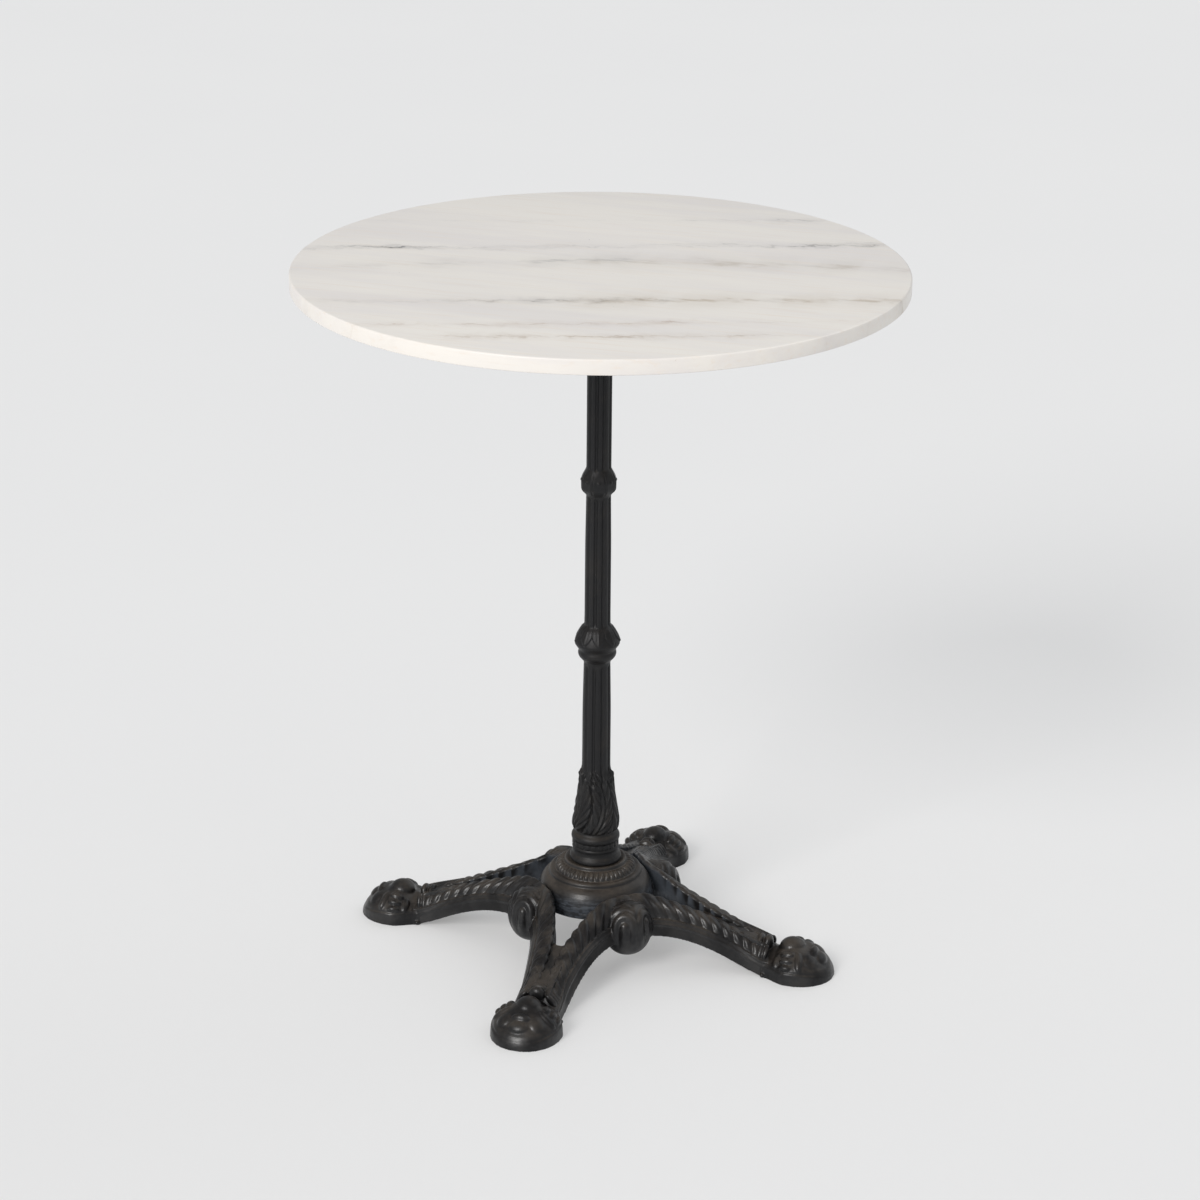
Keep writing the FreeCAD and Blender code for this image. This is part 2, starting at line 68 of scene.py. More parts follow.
@dataclass(frozen=True)
class Patch:
    """A grid of points in millimetres, rows by columns, joined into quads.

    The columns run round the shape when closed_columns is set, and the rows when closed_rows is.
    """

    points: np.ndarray
    closed_rows: bool = False
    closed_columns: bool = True
    cap: Cap = Cap.FAN

    def arrays(self) -> tuple[np.ndarray, np.ndarray, np.ndarray]:
        """Vertices, quads and triangles of the patch.

        Returns:
            Points (N, 3) in millimetres, quads (M, 4) and triangles (K, 3) of vertex numbers.
        """
        rows, columns = self.points.shape[:2]
        vertices = self.points.reshape(-1, 3)
        index = np.arange(rows * columns).reshape(rows, columns)
        wide = np.hstack([index, index[:, :1]]) if self.closed_columns else index
        tall = np.vstack([wide, wide[:1]]) if self.closed_rows else wide
        quads = np.stack([tall[:-1, :-1], tall[:-1, 1:], tall[1:, 1:], tall[1:, :-1]], -1).reshape(-1, 4)
        triangles = np.zeros((0, 3), int)
        if self.closed_rows or self.cap is Cap.NONE:
            return vertices, quads, triangles
        if self.cap is Cap.STRIP:
            half = columns // 2
            for row in (index[0], index[-1]):
                there, back = row[:half], row[::-1][:half]
                ends = np.stack([there[:-1], back[:-1], back[1:], there[1:]], -1)
                quads = np.vstack([quads, ends if row is not index[0] else ends[:, ::-1]])
            return vertices, quads, triangles
        centres = np.stack([self.points[0].mean(0), self.points[-1].mean(0)])
        first, last = rows * columns, rows * columns + 1
        low = np.stack([np.full(columns, first), wide[0, 1:], wide[0, :-1]], -1)
        high = np.stack([np.full(columns, last), wide[-1, :-1], wide[-1, 1:]], -1)
        return np.vstack([vertices, centres]), quads, np.vstack([low, high])


def make_mesh(name: str, patches: Sequence[Patch]) -> bpy.types.Object:
    """One mesh object from several closed patches, in metres, with normals outwards.

    Args:
        name: the piece's name.
        patches: closed shells in millimetres.

    Returns:
        The object, linked to the scene, at the origin.
    """
    vertices, faces, start = [], [], 0
    for patch in patches:
        points, quads, triangles = patch.arrays()
        vertices.append(points)
        faces += (quads + start).tolist() + (triangles + start).tolist()
        start += len(points)
    mesh = bpy.data.meshes.new(name)
    mesh.from_pydata((np.vstack(vertices) * MM).tolist(), [], faces)
    shell = bmesh.new()
    shell.from_mesh(mesh)
    bmesh.ops.remove_doubles(shell, verts=shell.verts, dist=1e-7)
    bmesh.ops.recalc_face_normals(shell, faces=shell.faces)
    shell.to_mesh(mesh)
    shell.free()
    mesh.shade_smooth()
    piece = bpy.data.objects.new(name, mesh)
    bpy.context.scene.collection.objects.link(piece)
    return piece


def fuse_shells(piece: bpy.types.Object, voxel: float, relax: int) -> None:
    """Merge overlapping shells into one skin, as one casting has, and soften its corners.

    Args:
        piece: the object whose mesh is replaced.
        voxel: size of the remesh in metres.
        relax: number of smoothing passes.
    """
    remesh = piece.modifiers.new("one_skin", "REMESH")
    remesh.mode = "VOXEL"
    remesh.voxel_size = voxel
    remesh.use_smooth_shade = True
    smooth = piece.modifiers.new("soft_corners", "SMOOTH")
    smooth.factor = 0.5
    smooth.iterations = relax
    graph = bpy.context.evaluated_depsgraph_get()
    mesh = bpy.data.meshes.new_from_object(piece.evaluated_get(graph))
    piece.modifiers.clear()
    piece.data = mesh
    mesh.name = piece.name
    mesh.shade_smooth()


def turned_copy(piece: bpy.types.Object, name: str, turns: int) -> bpy.types.Object:
    """A copy of a piece whose mesh is turned by quarter turns about the column's axis.

    Args:
        piece: the object that is worked on.
        name: the name it gets.
        turns: number of quarter turns.

    Returns:
        The copy, linked to the scene.
    """
    mesh = piece.data.copy()
    mesh.transform(Matrix.Rotation(math.radians(90 * turns), 4, "Z"))
    mesh.name = name
    copy = bpy.data.objects.new(name, mesh)
    bpy.context.scene.collection.objects.link(copy)
    return copy


def ridge(phase: np.ndarray, power: float) -> np.ndarray:
    """Rounded ridges with narrow valleys at whole numbers of phase: 1 - |2 frac(phase) - 1|^power.

    Args:
        phase: position across the ridges, one for each whole number.
        power: sharpness of the valleys; larger values leave them narrower.

    Returns:
        Heights from 0 to 1.
    """
    return 1.0 - np.abs(2.0 * (phase - np.floor(phase)) - 1.0) ** power


def ease(value: np.ndarray, low: float, high: float) -> np.ndarray:
    """Smooth step from 0 at low to 1 at high.

    Args:
        value: the values.
        low: where the step starts.
        high: where the step ends.

    Returns:
        Values from 0 to 1.
    """
    share = np.clip((value - low) / (high - low), 0.0, 1.0)
    return share * share * (3.0 - 2.0 * share)


def bump(value: np.ndarray, centre: float, width: float) -> np.ndarray:
    """Bell curve exp(-((value - centre) / width)^2).

    Args:
        value: the values.
        centre: where the bell is 1.
        width: how wide it is.

    Returns:
        Values from 0 to 1.
    """
    return np.exp(-(((value - centre) / width) ** 2))


def resample(corners: Sequence[tuple[float, float]], step: Union[float, Sequence[float]]) -> np.ndarray:
    """Points along a polyline, no further apart than the step of each of its runs.

    Args:
        corners: the polyline's corners.
        step: one spacing, or one for each run.

    Returns:
        Points (N, 2), starting at the first corner and ending at the last.
    """
    path = np.asarray(corners, float)
    steps = np.broadcast_to(step, len(path) - 1)
    runs = []
    for start, end, spacing in zip(path[:-1], path[1:], steps):
        count = max(int(math.ceil(np.linalg.norm(end - start) / spacing)), 1)
        share = np.arange(count)[:, None] / count
        runs.append(start + share * (end - start))
    return np.vstack(runs + [path[-1:]])


def soften(path: np.ndarray, passes: int) -> np.ndarray:
    """Round a path's corners by averaging each point with its neighbours, ends kept.

    Args:
        path: points (N, 2).
        passes: number of rounds of averaging.

    Returns:
        The rounded path.
    """
    out = path.copy()
    for _ in range(passes):
        out[1:-1] = 0.25 * out[:-2] + 0.5 * out[1:-1] + 0.25 * out[2:]
    return out


def lathe(radius: np.ndarray, height: np.ndarray, angle: np.ndarray) -> np.ndarray:
    """Points (rows, columns, 3) of a turned surface: (r cos a, r sin a, z).

    Args:
        radius: distances from the axis in millimetres.
        height: heights in millimetres.
        angle: angles round the axis in radians.

    Returns:
        The points in millimetres.
    """
    return np.stack([radius * np.cos(angle), radius * np.sin(angle), height + 0.0 * angle], -1)


def lump(centre: Sequence[float], radii: Sequence[float], lean: Matrix | None = None,
         rows: int = 14, columns: int = 22) -> Patch:
    """A closed ellipsoid: centre + lean (a cos e cos t, b cos e sin t, c sin e).

    Args:
        centre: its middle in millimetres.
        radii: its three half sizes.
        lean: a rotation, or None.
        rows: rings from pole to pole.
        columns: points round each ring.

    Returns:
        The closed shell.
    """
    rise = np.linspace(-0.49 * np.pi, 0.49 * np.pi, rows)[:, None]
    turn = np.linspace(0, 2 * np.pi, columns, endpoint=False)[None, :]
    points = np.stack([
        radii[0] * np.cos(rise) * np.cos(turn),
        radii[1] * np.cos(rise) * np.sin(turn),
        radii[2] * np.sin(rise) + 0 * turn,
    ], -1)
    if lean is not None:
        points = points @ np.array(lean.to_3x3()).T
    return Patch(points + np.asarray(centre, float))


# Shader maths -------------------------------------------------------------------------------


class Socket:
    """An output socket of a material's node, with arithmetic that adds nodes."""

    def __init__(self, graph: "Graph", socket: bpy.types.NodeSocket) -> None:
        """Keep the graph and the output that later nodes link to.

        Args:
            graph: the material under construction.
            socket: the output of a node.
        """
        self.graph = graph
        self.socket = socket

    def _combine(self, operation: str, left: object, right: object) -> "Socket":
        """Add the node for one operation: Mix on colours, Vector Math on vectors, Math on values.

        Args:
            operation: the node's operation.
            left: the first input.
            right: the second input.

        Returns:
            The result.
        """
        kinds = [item.socket.type for item in (left, right) if isinstance(item, Socket)]
        if "RGBA" in kinds:
            return self.graph.add("ShaderNodeMix", {"data_type": "RGBA", "blend_type": operation},
                                  {0: 1.0, 6: left, 7: right}, output=2)
        if "VECTOR" in kinds:
            return self.graph.add("ShaderNodeVectorMath", {"operation": operation}, {0: left, 1: right})
        return self.graph.add("ShaderNodeMath", {"operation": operation}, {0: left, 1: right})

    def __add__(self, other: object) -> "Socket":
        """Sum.

        Args:
            other: a value or another output.

        Returns:
            The result.
        """
        return self._combine("ADD", self, other)

    def __radd__(self, other: object) -> "Socket":
        """Sum, from the right.

        Args:
            other: a value or another output.

        Returns:
            The result.
        """
        return self._combine("ADD", other, self)

    def __sub__(self, other: object) -> "Socket":
        """Difference.

        Args:
            other: a value or another output.

        Returns:
            The result.
        """
        return self._combine("SUBTRACT", self, other)

    def __rsub__(self, other: object) -> "Socket":
        """Difference, from the right.

        Args:
            other: a value or another output.

        Returns:
            The result.
        """
        return self._combine("SUBTRACT", other, self)

    def __mul__(self, other: object) -> "Socket":
        """Product.

        Args:
            other: a value or another output.

        Returns:
            The result.
        """
        return self._combine("MULTIPLY", self, other)

    def __rmul__(self, other: object) -> "Socket":
        """Product, from the right.

        Args:
            other: a value or another output.

        Returns:
            The result.
        """
        return self._combine("MULTIPLY", other, self)

    def __truediv__(self, other: object) -> "Socket":
        """Quotient.

        Args:
            other: a value or another output.

        Returns:
            The result.
        """
        return self._combine("DIVIDE", self, other)

    def __rtruediv__(self, other: object) -> "Socket":
        """Quotient, from the right.

        Args:
            other: a value or another output.

        Returns:
            The result.
        """
        return self._combine("DIVIDE", other, self)

    def __neg__(self) -> "Socket":
        """The value with its sign changed.

        Returns:
            The result.
        """
        return self._combine("MULTIPLY", self, -1.0)

    def __abs__(self) -> "Socket":
        """Absolute value.

        Returns:
            The result.
        """
        return self.graph.add("ShaderNodeMath", {"operation": "ABSOLUTE"}, {0: self})

    def ease(self, low: float, high: float) -> "Socket":
        """Smooth step from 0 at low to 1 at high.

        Args:
            low: where the step starts.
            high: where the step ends.

        Returns:
            Values from 0 to 1.
        """
        return self.graph.add("ShaderNodeMapRange", {"interpolation_type": "SMOOTHSTEP"},
                              {"Value": self, "From Min": low, "From Max": high})

    def mix(self, low: object, high: object) -> "Socket":
        """Colour mix with this value as the factor.

        Args:
            low: colour where the value is 0.
            high: colour where the value is 1.

        Returns:
            The mixed colour.
        """
        return self.graph.add("ShaderNodeMix", {"data_type": "RGBA"}, {0: self, 6: low, 7: high}, output=2)


class Graph:
    """A material under construction."""

    def __init__(self, name: str) -> None:
        """Start an empty material.

        Args:
            name: the material's name.
        """
        self.material = bpy.data.materials.new(name)
        self.material.use_nodes = True
        self.tree = self.material.node_tree
        self.tree.nodes.clear()

    def add(self, kind: str, settings: dict | None = None, inputs: dict | None = None,
            output: int | str = 0) -> Socket:
        """Add one node.

        Args:
            kind: the node's type.
            settings: its properties, set before its sockets.
            inputs: values or sockets for its inputs, by name or number.
            output: which of its outputs to return.

        Returns:
            The chosen output.
        """
        node = self.tree.nodes.new(kind)
        for key, value in (settings or {}).items():
            setattr(node, key, value)
        for key, value in (inputs or {}).items():
            if isinstance(value, Socket):
                self.tree.links.new(value.socket, node.inputs[key])
            else:
                node.inputs[key].default_value = value
        return Socket(self, node.outputs[output])

    def place(self, turn: float = 0.0, scale: Sequence[float] = (1, 1, 1)) -> Socket:
        """Object coordinates in metres, turned about Z by degrees and scaled.

        Args:
            turn: degrees about Z.
            scale: factors along the three axes.

        Returns:
            The coordinates.
        """
        coordinates = self.add("ShaderNodeTexCoord", output="Object")
        return self.add("ShaderNodeMapping", None, {
            "Vector": coordinates, "Rotation": (0, 0, math.radians(turn)), "Scale": tuple(scale)})

    def noise(self, vector: Socket, scale: float, detail: float = 3.0, rough: float = 0.5) -> Socket:
        """Fractal noise from 0 to 1.

        Args:
            vector: the coordinates.
            scale: its size, larger for finer.
            detail: number of finer layers.
            rough: strength of those layers.

        Returns:
            The noise's value.
        """
        return self.add("ShaderNodeTexNoise", {"noise_dimensions": "3D"}, {
            "Vector": vector, "Scale": scale, "Detail": detail, "Roughness": rough})

    def split(self, vector: Socket) -> tuple[Socket, Socket, Socket]:
        """The X, Y and Z of a vector.

        Args:
            vector: the vector.

        Returns:
            Its three parts.
        """
        parts = self.add("ShaderNodeSeparateXYZ", None, {"Vector": vector})
        outputs = parts.socket.node.outputs
        return Socket(self, outputs[0]), Socket(self, outputs[1]), Socket(self, outputs[2])

    def relief(self, height: Socket, distance: float, strength: float = 1.0) -> Socket:
        """A bumped normal from a height between 0 and 1.

        Args:
            height: the height, an output.
            distance: its full size in metres.
            strength: how much of it shows.

        Returns:
            The normal.
        """
        return self.add("ShaderNodeBump", None, {
            "Height": height, "Distance": distance, "Strength": strength})

    def finish(self, **inputs: object) -> bpy.types.Material:
        """Close the material with a Principled shader; underscores in names stand for spaces.

        Args:
            inputs: values or outputs for the shader's inputs, by name.

        Returns:
            The material.
        """
        named = {key.replace("_", " "): value for key, value in inputs.items()}
        shader = self.add("ShaderNodeBsdfPrincipled", None, named)
        self.add_output(shader)
        return self.material

    def add_output(self, shader: Socket) -> None:
        """Link a shader to the material's output.

        Args:
            shader: the shader's output.
        """
        output = self.tree.nodes.new("ShaderNodeOutputMaterial")
        self.tree.links.new(shader.socket, output.inputs["Surface"])


def colour(red: float, green: float, blue: float) -> tuple[float, float, float, float]:
    """A linear colour from 0-255 display values.

    Args:
        red: from 0 to 255.
        green: from 0 to 255.
        blue: from 0 to 255.

    Returns:
        Red, green, blue and alpha.
    """
    def linear(value: float) -> float:
        """One channel, through the display curve.

        Args:
            value: from 0 to 255.

        Returns:
            The linear value.
        """
        share = value / 255.0
        return share / 12.92 if share <= 0.04045 else ((share + 0.055) / 1.055) ** 2.4
    return linear(red), linear(green), linear(blue), 1.0


# Finishes -----------------------------------------------------------------------------------


@dataclass(frozen=True)
class CastIron:
    """Sand-cast iron under black paint: matt on the column, glossier in patches on the base, dusty on top.
    Painted light: a cooler, darker tone on steep and downward faces stands for shade and reflection, a bluish
    grey on faces turned to the column is a painted reflection, and the hub's lower band is bare grey metal
    partly painted as a reflection of the floor.
    """

    name: str = "black_iron"
    paint: tuple = colour(20, 17, 16)
    # Steep and downward faces: a cooler, darker paint tone that is painted shade and painted reflection.
    cool_painted_shade: tuple = colour(17, 17, 18)
    worn: tuple = colour(36, 32, 28)
    # Bluish grey: a painted reflection on faces turned to the column, and on the hub's lower band bare metal
    # partly painted as a reflection of the floor.
    bare_and_sheen: tuple = colour(74, 79, 86)
    dust: tuple = colour(96, 85, 73)
    dust_share: float = 0.34
    # Share of the painted bluish reflection on faces turned to the column.
    inner_painted_sheen: float = 0.75
    # Share of bare metal on the hub's lower band, partly a painted reflection of the floor.
    apron_bare_and_sheen: float = 0.8
    grain: float = 0.00025

    def build(self) -> bpy.types.Material:
        """The finished material.

        Returns:
            The material.
        """
        graph = Graph(self.name)
        place = graph.place()
        east, north, height = graph.split(place)
        normal_east, normal_north, up = graph.split(graph.add("ShaderNodeNewGeometry", output="Normal"))
        patches = graph.noise(place, 38, 4, 0.6)
        specks = graph.noise(place, 420, 3, 0.65)
        sand = graph.noise(place, 1100, 2, 0.5)
        lumps = graph.noise(place, 160, 2, 0.5)
        strokes = graph.noise(graph.place(scale=(0.25, 0.25, 1.0)), 520, 3, 0.6)
        spread = east * east + north * north
        facing_axis = (-(normal_east * east + normal_north * north)).ease(0.012, 0.060)
        inward = facing_axis * (1 - spread.ease(0.019, 0.029))
        hub = 1 - spread.ease(0.0034, 0.0041)
        shaft = 1 - spread.ease(0.00076, 0.00082)
        apron = hub * height.ease(0.050, 0.054) * (1 - height.ease(0.064, 0.076))
        dome = hub * height.ease(0.070, 0.080) * (1 - height.ease(0.097, 0.099))
        low = 1 - height.ease(0.02, 0.30)
        settled = up.ease(0.25, 0.95) * patches.ease(0.36, 0.62) * (0.25 + 0.75 * low)
        dusty = (settled + dome * up.ease(0.0, 0.6) * 0.6) * (0.55 + 0.45 * specks) * self.dust_share
        worn = patches.ease(0.45, 0.7) * 0.45 + specks.ease(0.55, 0.75) * 0.25
        # Hub's lower band: brush strokes of bare metal, partly a painted reflection of the floor.
        brushed_and_sheen = apron * (0.30 + 0.70 * strokes.ease(0.42, 0.6))
        # Faces turned to the column take a painted bluish reflection in patches.
        rubbed_and_sheen = inward * patches.ease(0.25, 0.50) * self.inner_painted_sheen + brushed_and_sheen * self.apron_bare_and_sheen
        # Painted shade and reflection: steep and downward faces are cooler and darker than upward ones.
        base = worn.mix(up.ease(-0.2, 0.75).mix(self.cool_painted_shade, self.paint), self.worn)
        base = dusty.mix(rubbed_and_sheen.mix(base, self.bare_and_sheen), self.dust)
        rough = 0.26 + 0.12 * patches + 0.12 * specks + 0.40 * dusty + 0.12 * rubbed_and_sheen + 0.10 * shaft
        gloss = (1 - shaft) * patches.ease(0.36, 0.60) * (0.50 - dusty) * 0.9
        coarse = graph.relief(lumps, 0.0005, 0.5)
        fine = graph.add("ShaderNodeBump", None, {
            "Height": sand * 0.5 + specks * 0.3 + apron * strokes * 1.6, "Distance": self.grain,
            "Strength": 0.7, "Normal": coarse})
        return graph.finish(Base_Color=base, Roughness=rough, Normal=fine, Specular_IOR_Level=0.36,
                            Specular_Tint=(0.97, 0.98, 1.0, 1.0), Coat_Weight=gloss, Coat_Roughness=0.2)


@dataclass(frozen=True)
class Vein:
    """One vein of the marble, a curve y = start + slope x + bend x^2 in metres across the slab.

    core holds the stretch of x, from and to, where the vein is darkest.
    """

    start: float
    slope: float
    bend: float
    width: float
    strength: float
    core: tuple[float, float]
    tint: tuple
    seed: float


@dataclass(frozen=True)
class HonedMarble:
    """White marble with thin grey and brown veins that run one way.

    top is the height of the slab's upper face, from which the veins slope by dip as they go down.
    sway, waver and curl are how far long, middle and short waves move them, all in metres.
    """

    name: str = "marble"
    ground: tuple = colour(236, 231, 224)
    cloud: tuple = colour(229, 224, 220)
    warm: tuple = colour(232, 221, 209)
    chip: tuple = colour(70, 66, 62)
    top: float = 0.72
    dip: float = 0.35
    sway: float = 0.018
    waver: float = 0.018
    curl: float = 0.023
    veins: tuple = (
        Vein(0.086, 0.070, 0.0, 0.0024, 0.50, (-0.25, -0.17), colour(88, 88, 90), 1.0),
        Vein(0.079, 0.060, 0.0, 0.0024, 0.48, (0.16, 0.28), colour(96, 92, 88), 2.0),
        Vein(0.031, 0.045, -0.40, 0.0078, 0.28, (-0.16, 0.07), colour(156, 154, 154), 3.0),
        Vein(0.024, 0.030, -0.30, 0.0110, 0.28, (0.00, 0.29), colour(186, 174, 158), 9.0),
        Vein(-0.109, 0.035, -0.10, 0.0034, 0.46, (-0.09, 0.06), colour(104, 104, 106), 4.0),
        Vein(-0.111, 0.030, 0.0, 0.0090, 0.38, (-0.02, 0.30), colour(182, 165, 143), 5.0),
        Vein(-0.186, 0.050, 0.0, 0.0034, 0.30, (-0.20, 0.14), colour(180, 158, 138), 6.0),
        Vein(-0.227, 0.033, 0.0, 0.0036, 0.32, (-0.14, 0.14), colour(172, 152, 130), 7.0),
        Vein(0.180, 0.030, 0.0, 0.0030, 0.24, (0.10, 0.21), colour(132, 130, 130), 8.0),
    )

    def build(self) -> bpy.types.Material:
        """The finished material.

        Returns:
            The material.
        """
        graph = Graph(self.name)
        place = graph.place(turn=-FRONT_TURN)
        along, across, depth = graph.split(place)
        stretched = graph.place(turn=-FRONT_TURN, scale=(0.16, 1.0, 1.0))
        waver = graph.noise(stretched, 55, 4, 0.6)
        sway = graph.noise(graph.place(turn=-FRONT_TURN, scale=(0.5, 0.12, 0.5)), 14, 3, 0.5)
        curl = graph.noise(graph.place(turn=-FRONT_TURN, scale=(0.5, 0.6, 0.5)), 130, 3, 0.6)
        clouds = graph.noise(stretched, 16, 5, 0.6)
        streaks = graph.noise(graph.place(turn=-FRONT_TURN, scale=(0.05, 1.0, 1.0)), 190, 4, 0.65)
        breaks = graph.noise(stretched, 120, 3, 0.7)
        base = clouds.ease(0.4, 0.66).mix(self.ground, self.cloud)
        base = (streaks.ease(0.5, 0.74) * 0.55).mix(base, self.warm)
        level = across + (depth - self.top) * self.dip + (sway - 0.5) * self.sway
        level = level + (waver - 0.5) * self.waver + (curl - 0.5) * self.curl
        for vein in self.veins:
            path = vein.start + along * vein.slope + along * along * vein.bend
            gap = abs(level - path)
            line = 1 - gap.ease(0.0, vein.width)
            halo = 1 - gap.ease(0.0, vein.width * 4.5)
            wanders = graph.noise(graph.place(turn=-FRONT_TURN, scale=(1, 0.2, 1)), 16 + vein.seed, 2, 0.5)
            core = along.ease(vein.core[0] - 0.03, vein.core[0] + 0.02)
            core = core * (1 - along.ease(vein.core[1] - 0.02, vein.core[1] + 0.03))
            power = (0.20 + 0.80 * core) * (0.25 + 0.75 * wanders.ease(0.34, 0.60))
            dashes = 0.15 + 0.85 * breaks.ease(0.40, 0.62)
            base = (halo * power * (vein.strength * 0.55)).mix(base, vein.tint)
            base = (line * dashes * power * (vein.strength * 1.9)).mix(base, vein.tint)
        chips = graph.noise(place, 210, 2, 0.4).ease(0.80, 0.84)
        base = (chips * 0.7).mix(base, self.chip)
        rough = 0.30 + 0.08 * clouds
        skin = graph.relief(graph.noise(place, 260, 3, 0.5), 0.00006, 0.5)
        return graph.finish(Base_Color=base, Roughness=rough, Normal=skin, Specular_IOR_Level=0.4)


@dataclass(frozen=True)
class ZincSteel:
    """Zinc-plated steel with fine scratches and duller patches."""

    name: str = "zinc_steel"
    bright: tuple = colour(176, 177, 174)
    dull: tuple = colour(140, 140, 134)

    def build(self) -> bpy.types.Material:
        """The finished material.

        Returns:
            The material.
        """
        graph = Graph(self.name)
        place = graph.place()
        patches = graph.noise(place, 120, 4, 0.6)
        scratches = graph.noise(graph.place(scale=(1, 1, 0.08)), 2400, 2, 0.5)
        base = patches.ease(0.4, 0.65).mix(self.bright, self.dull)
        rough = 0.28 + 0.18 * patches + 0.10 * scratches
        return graph.finish(Base_Color=base, Metallic=1.0, Roughness=rough,
                            Normal=graph.relief(scratches, 0.00005, 0.6))


@dataclass(frozen=True)
class TurnedBrass:
    """Turned brass with rings from the tool."""

    name: str = "insert_brass"
    bright: tuple = colour(201, 168, 96)
    dull: tuple = colour(160, 128, 70)

    def build(self) -> bpy.types.Material:
        """The finished material.

        Returns:
            The material.
        """
        graph = Graph(self.name)
        place = graph.place()
        rings = graph.noise(graph.place(scale=(0.02, 0.02, 1)), 5200, 1, 0.5)
        patches = graph.noise(place, 300, 3, 0.6)
        base = patches.ease(0.4, 0.65).mix(self.bright, self.dull)
        return graph.finish(Base_Color=base, Metallic=1.0, Roughness=0.24 + 0.2 * patches,
                            Normal=graph.relief(rings, 0.00005, 0.6))


@dataclass(frozen=True)
class BlackRubber:
    """Matt black rubber with a fine dusty grain."""

    name: str = "pad_rubber"
    dark: tuple = colour(34, 34, 35)
    pale: tuple = colour(60, 59, 57)

    def build(self) -> bpy.types.Material:
        """The finished material.

        Returns:
            The material.
        """
        graph = Graph(self.name)
        place = graph.place()
        grain = graph.noise(place, 900, 3, 0.6)
        base = grain.ease(0.4, 0.75).mix(self.dark, self.pale)
        return graph.finish(Base_Color=base, Roughness=0.72 + 0.15 * grain,
                            Normal=graph.relief(grain, 0.0001, 0.6))


@dataclass(frozen=True)
class PaleFloor:
    """Matt pale floor that glows faintly for the camera, so that it stays even into the distance."""

    name: str = "floor_paint"
    pale: tuple = colour(232, 232, 232)
    shade: tuple = colour(228, 228, 229)
    glow: float = 0.88
    glow_tint: tuple = (1.0, 0.994, 0.985, 1.0)
    glow_share: float = 0.34

    def build(self) -> bpy.types.Material:
        """The finished material.

        Returns:
            The material.
        """
        graph = Graph(self.name)
        patches = graph.noise(graph.place(), 1.6, 3, 0.5)
        paint = graph.add("ShaderNodeBsdfPrincipled", None, {
            "Base Color": patches.mix(self.pale, self.shade), "Roughness": 0.6})
        light = graph.add("ShaderNodeEmission", None, {
            "Color": self.glow_tint, "Strength": self.glow})
        seen = graph.add("ShaderNodeLightPath", output="Is Camera Ray")
        graph.add_output(graph.add("ShaderNodeMixShader", None, {
            0: seen * self.glow_share, 1: paint, 2: light}))
        return graph.material


def dress(piece: bpy.types.Object, material: bpy.types.Material) -> None:
    """Give a piece one material.

    Args:
        piece: the object that is worked on.
        material: the finish it is dressed in.
    """
    piece.data.materials.clear()
    piece.data.materials.append(material)


def settle(piece: bpy.types.Object, material: bpy.types.Material, slot: str, *nodes: str) -> None:
    """Dress a piece, let it ride on the table's body and stand for CAD nodes, and report it.

    Args:
        piece: the object that is worked on.
        material: the finish it is dressed in.
        slot: not used.
        nodes: the CAD nodes that it stands for.
    """
    dress(piece, material)
    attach(piece, BODY)
    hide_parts(*nodes)
    log.info("%s: %d faces", piece.name, len(piece.data.polygons))


# Marble slab --------------------------------------------------------------------------------


@dataclass
class Slab:
    """The round top, its upper edge eased with a larger round than its lower one."""

    top_round: float = 1.8
    low_round: float = 1.0
    round_steps: int = 7
    columns: int = 512

    def outline(self) -> np.ndarray:
        """Half section from the underside's middle to the top's middle: two lines and two quarter rounds.

        Returns:
            Points (N, 2) in millimetres.
        """
        low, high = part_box("marble_top")
        radius = high.x / MM - 0.1
        bottom, top = low.z / MM, high.z / MM
        turn = np.linspace(0, 0.5 * np.pi, self.round_steps)
        under = np.stack([radius - self.low_round + self.low_round * np.sin(turn),
                          bottom + self.low_round - self.low_round * np.cos(turn)], -1)
        over = np.stack([radius - self.top_round + self.top_round * np.cos(turn),
                         top - self.top_round + self.top_round * np.sin(turn)], -1)
        return np.vstack([[[40.0, bottom]], [[150.0, bottom]], under, over, [[150.0, top]], [[40.0, top]]])

    def build(self, material: bpy.types.Material) -> None:
        """Make the slab.

        Args:
            material: the finish it is dressed in.
        """
        outline = self.outline()
        angle = np.linspace(0, 2 * np.pi, self.columns, endpoint=False)[None, :]
        points = lathe(outline[:, :1], outline[:, 1:], angle)
        piece = make_mesh("marble_slab", [Patch(points)])
        settle(piece, material, "marble", "marble_top")


# Column -------------------------------------------------------------------------------------


